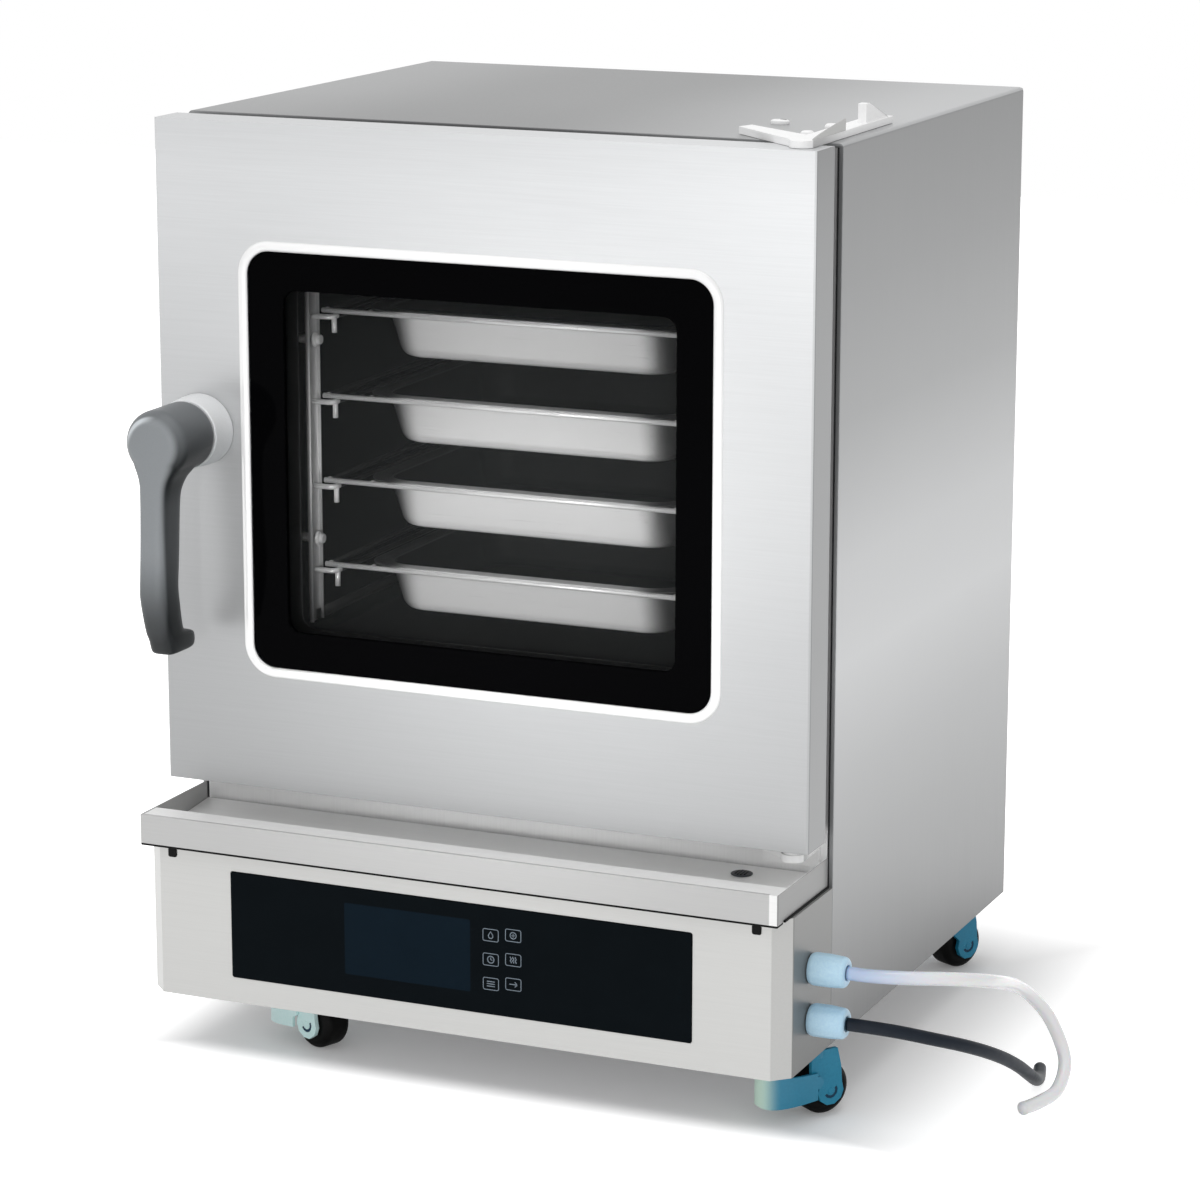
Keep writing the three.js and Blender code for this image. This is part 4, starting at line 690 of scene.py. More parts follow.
# Painted light: a pale copy of the teal plastic for the front-left caster, which stands in the
# light.
painted_lit_teal = moulded("painted_lit_teal", (0.70, 0.96, 0.95), (0.78, 1.0, 0.99), 400, 0.35)
deep_blue = moulded("deep_blue", (0.003, 0.03, 0.07), (0.006, 0.045, 0.09), 400, 0.4, shine=0.2)
wheel_rubber = moulded("wheel_rubber", 0.001, 0.003, 400, 0.55, shine=0.1)
gland_plastic = moulded("gland_plastic", (0.50, 0.76, 0.96), (0.60, 0.85, 1.0), 500, 0.35)
hinge_paint = moulded("hinge_paint", 0, 1, 500, 0.35, 0.06, paint_tone)
motor_paint = moulded("motor_paint", (0.03, 0.035, 0.04), (0.05, 0.055, 0.06), 400, 0.5)
heater_steel = moulded(
    "heater_steel", (0.07, 0.06, 0.06), (0.12, 0.10, 0.10), 250, 0.5, 0.15, metallic=0.7
)
brass = moulded("brass", (0.42, 0.30, 0.12), (0.52, 0.38, 0.17), 400, 0.35, metallic=0.8)
board_green = moulded("board_green", (0.01, 0.09, 0.04), (0.02, 0.14, 0.07), 900, 0.5)
trim_white = finish(
    "trim_white",
    lambda place: {
        "Base Color": noise(place, 5).blend(0.90, 0.95),
        "Roughness": noise(place, 12) * 0.08 + 0.2,
    },
    Metallic=0.15,
)
print("finishes so far:", len(bpy.data.materials))


# %% A finish on a node of the frame
def surfaced(names, material, rounding=0.0, segments=2, angle=35):
    """Gives frame nodes a finish, and rounds their sharp edges with modifiers only."""
    for name in names:
        piece = nodes[name]
        piece.data.materials.clear()
        piece.data.materials.append(material)
        if rounding:
            piece.data.shade_smooth()
            weld = piece.modifiers.new("weld", "WELD")
            weld.merge_threshold = 1e-5
            bevelled(piece, rounding, segments, angle)


# %% [markdown]
# ## Sheet metal
#
# The shell, the door skin, the tray and the housing are folded sheets. Their solids have the right
# shape, but lack the small radius of every fold. A Weld modifier joins the corners and a Bevel
# rounds the folds, which leaves the solid itself untouched. A Weighted Normal modifier lets the
# large faces decide the shading, so they stay flat. Two rubber strips close the seam between the
# shell's hem and the face sheet from behind.

# %% Dress the sheet metal
surfaced(["outer_shell"], shell_steel, 0.0006, 2, 50)
surfaced(["door_skin"], door_steel, 0.001, 3, 40)
surfaced(["control_housing"], housing_steel, 0.0007, 3)
surfaced(["drip_tray"], tray_steel, 0.0006, 2)
surfaced(["front_frame"], frame_steel)
surfaced(["door_inner_panel"], panel_steel, 0.0004)
surfaced(["rear_panel", "base_chassis", "latch_keeper", "latch_arm"], plain_steel, 0.0004)
print("sheet metal dressed")

# %% Fill the seam beside the face sheet
SEAM_IN, SEAM_OUT = 311.5, 315.9
SEAM_FRONT, SEAM_BACK = 2.6, 5.4
for side, word in SIDES:
    section = rectangle(side * SEAM_IN, side * SEAM_OUT, SEAM_FRONT, SEAM_BACK)
    seam = upright(f"{word}_seam_strip", section, BASE_MM + 23, TOP_MM - 4.5)
    dress(bevelled(seam, 0.0006, 2), "cabinet", seal_rubber)
print("seam strips:", len(SIDES))

# %% [markdown]
# ## Window trim
#
# The bright trim is one bead that runs round the window and meets itself, so it is a section
# carried along a rounded rectangle. The section is a low dome: its height is a sine from edge to
# edge, raised to a power that flattens its middle and leaves a thin highlight on the bead.

# %% Sweep the trim
TRIM_LOW, TRIM_HIGH = corners_of("window_trim")
TRIM_WIDTH = 9.5 * MM
TRIM_RADIUS = 22 * MM
TRIM_FLATNESS = 0.55
TRIM_STEPS = 13
DOOR_FRONT = corners_of("door_skin")[0][1]

trim_middle = (TRIM_LOW + TRIM_HIGH) / 2
trim_half = (TRIM_HIGH - TRIM_LOW) / 2
dome = np.linspace(0, 1, TRIM_STEPS)
dome_out = (DOOR_FRONT - TRIM_LOW[1]) * np.sin(np.pi * dome) ** TRIM_FLATNESS
section_in = np.concatenate([dome, dome[::-1]]) * TRIM_WIDTH
section_y = np.concatenate([DOOR_FRONT - dome_out, np.full(TRIM_STEPS, DOOR_FRONT + 0.0006)])
trim_rings = [
    standing(
        rounded_rectangle(
            trim_half[0] - inward, trim_half[2] - inward, TRIM_RADIUS + TRIM_WIDTH - inward, 14
        ),
        y, trim_middle[0], trim_middle[2],
    )
    for inward, y in zip(section_in, section_y)
]
trim = skin("window_bead", np.stack(trim_rings), wrap_rows=True)
dress(trim, "door", trim_white, ["window_trim"])
print("trim", len(trim.data.vertices), "points")

# %% [markdown]
# ## Glass
#
# The outer pane is clear in the middle and printed black round the edge. That print has a sharp,
# rounded inner edge, so it is drawn with the distance to a rounded rectangle: inside the corner
# radius the pane lets light through, and outside it does not.


# %% Panes
def printed_pane(place):
    """Clear inside the print, and black outside it."""
    across, _, up = position(place)
    clear = inside_rounded(across, up - WINDOW_MIDDLE, 0.192, 0.1585, 0.013, 0.0004)
    smear = noise(place, 5)
    return {
        "Base Color": noise(place, 400).blend((0.0006, 0.0006, 0.0008), (0.0016, 0.0016, 0.002)),
        "Alpha": 1.0 - clear * (smear * 0.03 + 0.92),
        "Roughness": smear * 0.03 + 0.05,
    }


outer_pane = finish("printed_pane", printed_pane, Specular_IOR_Level=0.01)
inner_pane = finish(
    "inner_pane",
    lambda place: {
        "Alpha": noise(place, 6) * 0.015 + 0.01,
        "Roughness": noise(place, 30) * 0.04 + 0.04,
    },
    Base_Color=colour((0.5, 0.53, 0.53)),
    Specular_IOR_Level=0.02,
)
surfaced(["outer_glass"], outer_pane)
surfaced(["inner_glass"], inner_pane)
surfaced(["door_seal"], seal_rubber, 0.001, 2)
print("panes dressed")

# %% [markdown]
# ## Cavity, fan and racks
#
# Behind the glass the cavity is near-black, painted shade for the dark inside it, so that the
# bright pans stand out. The racks carry the shelves: each has two folded posts, knobs that hold it
# to the wall, and one wire per tier.

# %% Dress the cavity
# The liner and the baffle take the near-black painted shade.
surfaced(["cavity_liner"], cavity_black, 0.0005)
surfaced(["fan_baffle"], cavity_black, 0.0004)
surfaced(["fan_wheel"], plain_steel, 0.0003)
surfaced(["fan_motor"], motor_paint, 0.0006)
surfaced(["heating_element"], heater_steel, 0.0006, 2, 20)
surfaced(["boiler_tank", "drain_pipe"], plain_steel, 0.0006, 2, 20)
surfaced(["inlet_valve"], brass, 0.0005)
print("cavity dressed")

# %% Racks
ROD = 2.5
GAP = 0.3
WIRE = ROD * MM
RACK_SHEET = 1.5
POST_OUT = 210
POST_LIP = 4.0
RUNNER_IN = 188
RUNNER_BEND = 6
POST_FRONT = 14
POST_WIDTH = 22
RACK_BACK = 340
RACK_LOW = BASE_MM + 338
RACK_HIGH = BASE_MM + 674
TIE_HEIGHT = 10
TIERS = [BASE_MM + 632 - 80 * i for i in range(4)]
KNOB = [(0, 0), (7, 0), (7, 3), (4.4, 4), (4.4, 7), (0, 7)]
STUD = np.array([(0, 0), (4, 0), (4, 13.2), (0, 13.2)]) * MM
front_post = POST_FRONT + POST_WIDTH / 2
back_post = RACK_BACK - POST_WIDTH / 2


def post_section(side, front):
    """A channel seen from above, in X and Y: web on the outside, and a lip at each end."""
    back = front + POST_WIDTH
    web, lip = POST_OUT - RACK_SHEET, POST_OUT - POST_LIP
    pairs = [
        (POST_OUT, front), (POST_OUT, back), (lip, back), (lip, back - RACK_SHEET),
        (web, back - RACK_SHEET), (web, front + RACK_SHEET), (lip, front + RACK_SHEET),
        (lip, front),
    ]
    return np.array(pairs) * [side, 1]


def rack_pieces(side, name):
    """Two posts, two ties, a runner and a peg for each tier, and four knobs on studs."""
    web, web_in, runner = side * POST_OUT, side * (POST_OUT - RACK_SHEET), side * RUNNER_IN
    parts = [
        upright("post", post_section(side, front), RACK_LOW, RACK_HIGH)
        for front in (POST_FRONT, RACK_BACK - POST_WIDTH)
    ]
    tie = rectangle(web, web_in, front_post, back_post)[[0, 3, 2, 1]]
    for low in (RACK_LOW, RACK_HIGH - TIE_HEIGHT):
        parts.append(upright("tie", tie, low, low + TIE_HEIGHT))
    for level in TIERS:
        z = level - 2 * ROD - GAP
        places = ((web, front_post), (runner, front_post), (runner, back_post), (web, back_post))
        loop = rounded_profile([(x, y, z) for x, y in places], RUNNER_BEND, 6)
        peg = [(runner, front_post + 5, z), (runner, front_post + 5, z - 15)]
        parts += [wire("runner", in_frame(loop), WIRE), wire("peg", in_frame(peg), WIRE)]
    for y in (front_post, back_post):
        for z in (TIERS[0] - 27, TIERS[3] + 25):
            seat = (side * (POST_OUT - POST_LIP), y, z)
            parts.append(turned_piece("knob", KNOB, 0.8, 5, seat, (-side, 0, 0), 32))
            stud = turned(STUD, in_frame((web_in, y, z)), (side, 0, 0), 24)
            parts.append(skin("stud", stud, capped=False))
    return joined(name, parts)


for side, word in SIDES:
    rack = rack_pieces(side, f"{word}_rack_frame")
    dress(rack, "cabinet", rack_steel, [f"{word}_rack"])
print("racks", len(rack.data.vertices), "points each")

# %% [markdown]
# ## Shelves and pans
#
# A shelf is six straight wires, two across and four along, and a pan hangs in it by its rim. A
# pressed pan is one surface, so it is a stack of rounded rectangles: a table gives how far each
# lies inside the mouth and how high it is. The table goes up the inside, over the rim, round its
# edge and down the outside, so one grid makes the whole thickness.

# %% Shelves and pans
SHELF_FRONT = 30
SHELF_HALF = 200
PAN_SHEET = 1.2
PAN_DEPTH = 265
PAN_HALF_X, PAN_HALF_Y = 147.5, 117.5
PAN_CORNER = 30
PAN_BACK = SHELF_FRONT - ROD - GAP - PAN_SHEET + PAN_DEPTH
BACK_ROD = PAN_BACK - 6.25
PAN_MIDDLE = PAN_BACK - PAN_DEPTH / 2
PAN_PROFILE = rounded_profile(
    [
        (105, -41.8), (40, -41.8), (17.8, -41.8), (13.1, -40.0), (10.0, -34.0), (1.4, 1.6),
        (0.4, 4.0), (-6, 4.0), (-13, 4.0), (-15, 3.6), (-15, 2.7), (-13.9, 2.8),
        (-1.6, 2.8), (-0.2, 1.0), (8.6, -35.0), (11.9, -41.0), (16.6, -43), (40, -43), (105, -43),
    ],
    2.0, 4,
)


def pan_grid(level):
    """Rounded rectangles for each row of the profile. The corner radius shrinks inwards."""
    rings = []
    for inset, height in PAN_PROFILE:
        radius = min(max(PAN_CORNER - inset * 0.5, 4), PAN_HALF_Y - inset - 0.5)
        flat = rounded_rectangle(PAN_HALF_X - inset, PAN_HALF_Y - inset, radius, 9)
        rings.append(lying(flat, level + height, 0, PAN_MIDDLE))
    return in_frame(rings)


def shelf_wires(level):
    """Two wires across and four along."""
    ends = [
        ("across", [(-SHELF_HALF, y, level), (SHELF_HALF, y, level)])
        for y in (SHELF_FRONT, BACK_ROD)
    ] + [
        ("along", [(x, SHELF_FRONT, level), (x, BACK_ROD, level)])
        for x in (-197, -152.5, 152.5, 197)
    ]
    return [wire(name, in_frame(path), WIRE) for name, path in ends]


def shade_inner_faces(piece, level):
    """Gives the painted shade, the second finish, to the faces that look up or towards the pan's
    middle.
    """
    polygons = piece.data.polygons
    middle, normal = np.empty(len(polygons) * 3), np.empty(len(polygons) * 3)
    polygons.foreach_get("center", middle)
    polygons.foreach_get("normal", normal)
    middle, normal = middle.reshape(-1, 3), normal.reshape(-1, 3)
    reach = middle[:, :2] - in_frame((0, PAN_MIDDLE, 0))[:2]
    inwards = (reach * normal[:, :2]).sum(axis=1) < 0
    upwards = (normal[:, 2] > 0.5) & (middle[:, 2] < (level - 20) * MM)
    below_rim = middle[:, 2] < (level + 1.5) * MM
    inside = (inwards & below_rim) | upwards
    polygons.foreach_set("material_index", inside.astype(np.int32))


for number, level in enumerate(TIERS, 1):
    body = f"tier_{number}"
    shelf = joined(f"shelf_{number}_wires", shelf_wires(level))
    dress(shelf, body, rack_steel, [f"shelf_{number}"])
    pan = skin(f"pan_{number}_pressed", pan_grid(level))
    dress(pan, body, pan_steel, [f"pan_{number}"])
    pan.data.materials.append(pan_inside_shade)
    shade_inner_faces(pan, level)
print("pans", len(pan.data.vertices), "points each")

# %% [markdown]
# ## Handle
#
# The handle is one moulding: a round hub flows without an edge into the lever that hangs from it.
# Two overlapping shapes are made first, a turned hub and a lever whose section changes down its
# length. A Remesh modifier fuses them into one skin, and a Smooth modifier melts the seam into
# the soft fillet that a mould would leave.

# %% Turn the hub, loft the lever, fuse them
HANDLE_X = -277
HANDLE_Z = BASE_MM + 531
HUB_BACK = -94.6
COLLAR_BACK = -64.6
SQUARENESS = 4.2
LEVER_TABLE = np.array(
    [
        (-14, 23, -156, -100, 0), (0, 25.5, -158.6, -100, 0), (12, 25, -159.3, -100, 0),
        (20, 22.8, -159.6, -101, 0), (27, 19.2, -159.6, -105, -0.3),
        (33, 16.2, -159.7, -112, -0.8), (39, 14.6, -159.8, -116, -1.2),
        (46, 13.8, -160, -119.5, -1.6), (56, 13.4, -160.2, -121, -1.8),
        (75, 13.2, -161, -122.5, -1.9), (95, 13.2, -162, -124, -1.9),
        (115, 13.2, -163.6, -126, -1.8), (130, 13.2, -165, -128, -1.6),
        (138, 13.2, -165.6, -128, -1.4), (147, 13.1, -164.6, -127, -1.1),
        (158, 12.9, -162.4, -125.4, -0.8), (168, 12.8, -159.8, -123.6, -0.6),
        (175, 12.8, -157.4, -121, -0.4), (178.5, 12.8, -156.2, -107.5, -0.2),
        (181, 12.8, -155.2, -102.5, 0), (190, 12.8, -151.6, -101.8, 0),
        (193, 12.2, -150.2, -103.5, 0), (194.4, 10.2, -147.5, -107.5, 0),
    ]
)


def lever_grid(rows=6, around=48):
    """Superellipses from the table: drop, half width, front, back, and a shift sideways."""
    drop, wide, front, back, shift = through(LEVER_TABLE, rows).T[:, :, None]
    angle = np.linspace(0, 2 * np.pi, around, endpoint=False)[None]
    u, v = (
        np.sign(wave) * np.abs(wave) ** (2 / SQUARENESS) for wave in (np.cos(angle), np.sin(angle))
    )
    x = HANDLE_X + shift + wide * u
    y = (front + back) / 2 + (back - front) / 2 * v
    z = HANDLE_Z - drop + 0 * u
    return in_frame(np.stack([x, y, z], axis=-1))


hub = turned_piece(
    "hub", [(0, 0), (31, 0), (31, 54), (22.5, 65), (0, 65)], 5, 9,
    (HANDLE_X, HUB_BACK, HANDLE_Z), (0, -1, 0), 96,
)
handle = joined("door_handle_moulding", [hub, skin("lever", lever_grid())])
fuse = handle.modifiers.new("fuse", "REMESH")
fuse.mode = "VOXEL"
fuse.voxel_size = 0.0012
fuse.use_smooth_shade = True
melt = handle.modifiers.new("melt", "SMOOTH")
melt.factor = 0.5
melt.iterations = 12
dress(handle, "handle", handle_plastic, ["door_handle"])

collar = turned_piece(
    "handle_ring", [(0, 0), (33, 0), (33, 9), (31.6, 29.7), (0, 29.7)], 1.4, 5,
    (HANDLE_X, COLLAR_BACK, HANDLE_Z), (0, -1, 0), 96,
)
dress(collar, "door", collar_plastic, ["handle_collar"])
print("handle from", len(handle.data.vertices), "points before fusing")

# %% [markdown]
# ## Hinges, bolts and plugs
#
# The hinge plates are flat solids and only need round edges. The photograph adds their hardware:
# two round-headed bolts on the upper plate, an oval head with a slot, and an upright fin on the
# plate's outer edge. A head is a profile turned about its axis, and the slot is a black bar in it:
# painted shade for the groove.

# %% Hinges and bolts
surfaced(["top_hinge_bracket", "bottom_hinge_bracket"], hinge_paint, 0.0008, 3)
HINGE_TOP = TOP_MM + GAP + 6.5
BOLT = [(0, -0.4), (6.2, -0.4), (6.2, 6.0), (4.6, 8.0), (0, 8.4)]
BOLT_ROUND, BOLT_STEPS = 0.9, 4
OVAL_PLACE = (217.4, 115.5, TOP_MM)
OVAL_SCALE = [1.42, 0.8, 0.5]
UP = (0, 0, 1)
bolts = [
    turned_piece("bolt", BOLT, BOLT_ROUND, BOLT_STEPS, (x, y, TOP_MM), UP, 40)
    for x, y in ((283, 10), (283.4, 69))
]
oval = turned(rounded_profile(BOLT, BOLT_ROUND, BOLT_STEPS) * MM, (0, 0, 0), UP, 48) * OVAL_SCALE
bolts.append(skin("oval", oval + in_frame(OVAL_PLACE), capped=False))
hardware = joined("hinge_bolts", bolts)
dress(hardware, "cabinet", hinge_paint)


def fin_grid(rows=25):
    """An upright sheet on the plate's edge, whose height grows as a power of its run."""
    run = np.linspace(0, 1, rows)
    y = -44 + 80 * run
    height = 0.4 + 10 * run**0.75
    out, root, inner = 308.8, -0.2, 307.3
    outline = np.array([(out, root), (out, 1), (inner, 1), (inner, root)])
    grid = np.empty((rows, 4, 3))
    grid[:, :, 0] = outline[:, 0]
    grid[:, :, 1] = y[:, None]
    grid[:, :, 2] = HINGE_TOP + np.where(outline[:, 1] > 0, height[:, None], root)
    return in_frame(grid)


fin = bevelled(skin("hinge_fin", fin_grid()), 0.0003, 2)
dress(fin, "cabinet", housing_steel)


def slab(name, one, other, soft=0.3):
    """A rounded bar between two corners, as a stack of rounded rectangles along its height."""
    low, high = np.minimum(one, other).astype(float), np.maximum(one, other).astype(float)
    half, middle = (high - low) / 2, (high + low) / 2
    rows = rounded_profile(
        [(half[0], low[2]), (0, low[2]), (0, high[2]), (half[0], high[2])], soft, 4
    )
    rings = []
    for inset, height in rows:
        x, y = half[:2] - min(inset, min(half[:2]) - 0.05)
        flat = rounded_rectangle(x, y, max(min(soft, x, y), 0.02), 4)
        rings.append(lying(flat, height, middle[0], middle[1]))
    return skin(name, in_frame(rings))


# Painted shade: the slot is a black bar standing in for the dark of the groove.
slot_bar = slab("oval_slot", (217.6, 114.6, TOP_MM + 3.2), (223.4, 116.2, TOP_MM + 4.3))
dress(slot_bar, "cabinet", black_plastic)

PLUG_ROWS = [(-1.2, 3.4), (-1.2, 3.9), (-0.9, 4.3), (-0.3, 4.3), (-0.3, 3.7), (5.7, 3.7)]
PLUG_X, PLUG_Z = 291, BASE_MM + 138
HOUSING_FRONT = -112.0
for side, word in SIDES:
    rings = [
        standing(rounded_rectangle(half, half, 1.8, 8), out + HOUSING_FRONT, side * PLUG_X, PLUG_Z)
        for out, half in PLUG_ROWS
    ]
    plug = skin(f"housing_plug_{word}_cap", in_frame(rings))
    dress(plug, "cabinet", black_plastic, [f"housing_plug_{word}"])
print("hardware", len(hardware.data.vertices), "points")

# %% [markdown]
# ## Control panel
#
# The panel is one black glass with a screen behind it and six touch marks. The shader mixes in the
# screen as a patch of slightly bluer black. The marks are printed, so they are flat shapes that
# stand a hair proud of the glass: a frame round each, and a plain sign inside of bars and rings.

# %% Panel and touch marks
PANEL_FRONT = -113.0


def panel_recipe(place):
    """Black glass, and a slightly bluer black where the screen lies."""
    across, _, up = position(place)
    screen = inside_rounded(across + 0.049, up - 0.078, 0.0635, 0.034, 0.002, 0.0005)
    cloud = noise(place, 30)
    glass = cloud.blend((0.002, 0.004, 0.0056), (0.0032, 0.0056, 0.0076))
    lit = cloud.blend((0.004, 0.0105, 0.018), (0.0052, 0.013, 0.0215))
    return {"Base Color": screen.blend(glass, lit), "Roughness": cloud * 0.06 + 0.1}


panel_glass = finish("panel_glass", panel_recipe, Specular_IOR_Level=0.02)
surfaced(["control_glass"], panel_glass)
surfaced(["display_module"], black_plastic)
surfaced(["control_board"], board_green)
mark_print = moulded("mark_print", (0.13, 0.17, 0.21), (0.20, 0.25, 0.30), 900, 0.4)
MARK_FRONT = PANEL_FRONT - 0.15
MARK_BACK = PANEL_FRONT + 0.05
LINE = 0.9


def ribbon(points, width, closed=False):
    """A flat printed line on the panel, from its middle line in X and Z."""
    if closed:
        ahead = np.roll(points, -1, 0) - np.roll(points, 1, 0)
    else:
        ahead = np.gradient(points, axis=0)
    ahead = unit(ahead)
    side = np.stack([-ahead[:, 1], ahead[:, 0]], axis=1) * width / 2
    columns = [
        standing(points + sign * side, y)
        for sign, y in ((1, MARK_FRONT), (-1, MARK_FRONT), (-1, MARK_BACK), (1, MARK_BACK))
    ]
    return skin("ribbon", in_frame(np.stack(columns, axis=1)), wrap_rows=closed)


def arc(x, z, radius, start=0.0, stop=360.0, count=25):
    """Points round a middle in X and Z, between two angles in degrees."""
    angle = np.radians(np.linspace(start, stop, count))
    return np.stack([x + radius * np.cos(angle), z + radius * np.sin(angle)], axis=1)


def bar(x, z):
    """Three points on a level line through the middle of a sign."""
    return [(x - 4, z), (x, z), (x + 4, z)]


ripple = np.linspace(-3, 3, 13)
SIGNS = {
    "drop": [arc(0, -0.8, 2.2, 150, 390), [(-1.9, 0.4), (0, 3.4), (1.9, 0.4)]],
    "fan": [arc(0, 0, 3.0), [(-1.6, 0), (0, 0), (1.6, 0)], [(0, -1.6), (0, 0), (0, 1.6)]],
    "clock": [arc(0, 0, 3.2), [(0, 2.0), (0, 0), (1.6, -0.6)]],
    "wave": [
        np.stack([shift + 0.6 * np.sin(ripple * 2), ripple], axis=1) for shift in (-2.4, 0, 2.4)
    ],
    "bars": [bar(0, -2.2), bar(0, 0), bar(0, 2.2)],
    "arrow": [bar(0, 0), [(1.4, 2.4), (4, 0), (1.4, -2.4)]],
}
MARK_PLACES = [
    (x, BASE_MM + z + lift) for z in (100, 77, 54) for x, lift in ((35.0, 0), (57.3, 2.4))
]
marks = []
for place, lines in zip(MARK_PLACES, SIGNS.values()):
    outline = rounded_rectangle(7.6, 5.6, 1.6, 5) + place
    marks.append(ribbon(outline, LINE * 0.8, closed=True))
    for line in map(np.array, lines):
        closed = np.allclose(line[0], line[-1])
        marks.append(ribbon(line[: -1 if closed else None] + place, LINE, closed))
touch_marks = joined("touch_marks", marks)
dress(touch_marks, "cabinet", mark_print)
print("touch marks", len(touch_marks.data.vertices), "points")

# %% [markdown]
# ## Glands
#
# Each gland is a soft cap, a turned profile with every corner rounded: a waist at the wall, a
# shoulder, a long taper and a lip round the bore. Shallow grip flutes run along the cap: the
# radius falls by a raised cosine in the angle, only where the cap is full.

# %% Turn the glands
GLAND = [(9, -9.7), (9, 0.3), (13.6, 0.3), (15.0, 4.5), (15.0, 19), (13.9, 32.5), (11.5, 35),
         (6.6, 35), (6.6, 24)]
FLUTES, FLUTE_DEPTH = 12, 0.025
for level, name in ((HOSE_LEVEL, "water_gland"), (CABLE_LEVEL, "cable_gland")):
    grid = turned(rounded_profile(GLAND, 1.8, 6) * MM, (0, 0, 0), (1, 0, 0), 96)
    along = grid[..., 0]
    angle = np.arctan2(grid[..., 1], grid[..., 2])
    full = np.clip((along - 0.004) / 0.003, 0, 1) * np.clip((0.031 - along) / 0.006, 0, 1)
    outside = np.linalg.norm(grid[..., 1:], axis=-1) > 0.0125
    flute = 1 - FLUTE_DEPTH * full * outside * (0.5 + 0.5 * np.cos(FLUTES * angle))
    grid[..., 1:] *= flute[..., None]
    cap = skin(name + "_cap", grid + in_frame((320, GLAND_Y, level)), capped=False)
    dress(cap, "cabinet", gland_plastic, [name])
print("glands", len(cap.data.vertices), "points each")

# %% [markdown]
# ## Casters
#
# Every caster is the same set of pieces, turned about its own stem. So each piece is made in a
# plain frame, with the stem on the Z axis and the wheel trailing along X, and then turned and
# moved as an array. Only the two front ones have a brake pedal, a band bent round the swivel.

# %% Casters
CASTERS = {
    "front_left": (-210, 0, -22), "front_right": (291, 0, 54),
    "rear_left": (-232, 448, 118), "rear_right": (272, 448, 62),
}
WHEEL_RADIUS = 25
TRAIL = 20
CRESCENT_OUT = 20.05
CRESCENT_RADIUS = 6.1


def placed(grid, where):
    """Turns points from the caster's own frame to its corner of the cabinet."""
    x, y, degrees = CASTERS[where]
    turn = math.radians(degrees)
    cos, sin = math.cos(turn), math.sin(turn)
    matrix = np.array([[cos, -sin, 0], [sin, cos, 0], [0, 0, 1]])
    return in_frame(np.asarray(grid) @ matrix.T + [x, y, 0])


wheel_profile = rounded_profile(
    [(3.7, -13), (11, -13), (13, -15), (20, -15), (25, -10), (25, 10), (20, 15), (13, 15),
     (11, 13), (3.7, 13)], 2.6, 6
)
for where in CASTERS:
    grid = turned(wheel_profile, (TRAIL, 0, WHEEL_RADIUS), (0, 1, 0), 96)
    wheel = skin(f"caster_tyre_{where}", placed(grid, where), wrap_rows=True)
    dress(wheel, f"wheel_{where}", wheel_rubber, [f"caster_wheel_{where}"])


def pedal_recipe(place):
    """Teal, with painted light: the band's left end, which faces the front, is painted pale."""
    grain = noise(place, 400, 4)
    lit_end_mask = position(place)[0].step(0.265, 0.288)
    pale = grain.blend((0.70, 0.95, 0.80), (0.76, 1.0, 0.86))
    return {"Base Color": lit_end_mask.blend(pale, grain.blend(*TEAL)), "Roughness": grain * 0.16 + 0.27}


teal_forks = [f"caster_fork_{where}" for where in CASTERS if where != "front_left"]
surfaced(teal_forks, teal_plastic, 0.0008, 3)
# The front-left fork and pedal take the pale copy of the teal: painted light.
surfaced(["caster_fork_front_left", "caster_pedal_front_left"], painted_lit_teal, 0.0008, 3)
surfaced(["caster_pedal_front_right"], finish("teal_painted_lit_end", pedal_recipe), 0.0008, 3)
surfaced([f"caster_mount_{where}" for where in CASTERS], plain_steel, 0.0006)


def crescents(where):
    """Painted shade in the curved recess of each cheek: a dark blue arc swept with a thin section.
    """
    flat = arc(TRAIL, WHEEL_RADIUS, CRESCENT_RADIUS, -149, 29)
    section = rounded_rectangle(1.7, 0.4, 0.35, 4)[:, ::-1]
    parts = [
        skin("crescent", placed(swept(standing(flat, side * CRESCENT_OUT), section), where))
        for side in (-1, 1)
    ]
    return joined(f"caster_marks_{where}", parts)


for where in CASTERS:
    dress(crescents(where), f"swivel_{where}", deep_blue)
print("casters", len(CASTERS))

# %% [markdown]
# ## Small details
#
# A thin black strip edges the tray where it stands out over the housing, and reads as one dark
# line: painted shadow, standing in for the shade under the tray's flange. The drain has a strainer
# with slots, black bars of painted shade for the holes, which only a viewer who walks round the
# cabinet meets.

# %% Painted shadow strip under the tray's front
STRIP_TOP, STRIP_LOW = BASE_MM + 148.5, BASE_MM + 146.4
STRIP_FRONT, STRIP_OUT = -126.9, 315.9
edges = [
    slab("edge", (-STRIP_OUT, STRIP_FRONT, STRIP_LOW), (STRIP_OUT, -124.8, STRIP_TOP), 0.4)
]
for side, _ in SIDES:
    ends = [
        ((STRIP_OUT, STRIP_FRONT, STRIP_LOW), (313.8, -112.6, STRIP_TOP)),
        ((315.8, -112.4, STRIP_TOP - 0.6), (317.8, -3, STRIP_TOP + 1.2)),
    ]
    edges += [slab("edge", *(np.array(end) * [side, 1, 1]), 0.4) for end in ends]
# Painted shadow: the black strip stands in for the shade under the tray's flange.
dress(joined("tray_shadow_strip", edges), "cabinet", wheel_rubber)
print("edge strip done")

# %% Strainer
DRAIN_X, DRAIN_Y = 242, -24
TRAY_FLOOR = BASE_MM + 158
strainer = turned_piece(
    "tray_strainer", [(0, 0), (10, 0), (10, 1.0), (4, 1.6), (0, 1.6)], 0.6, 4,
    (DRAIN_X, DRAIN_Y, TRAY_FLOOR), UP, 48,
)
dress(strainer, "cabinet", motor_paint)
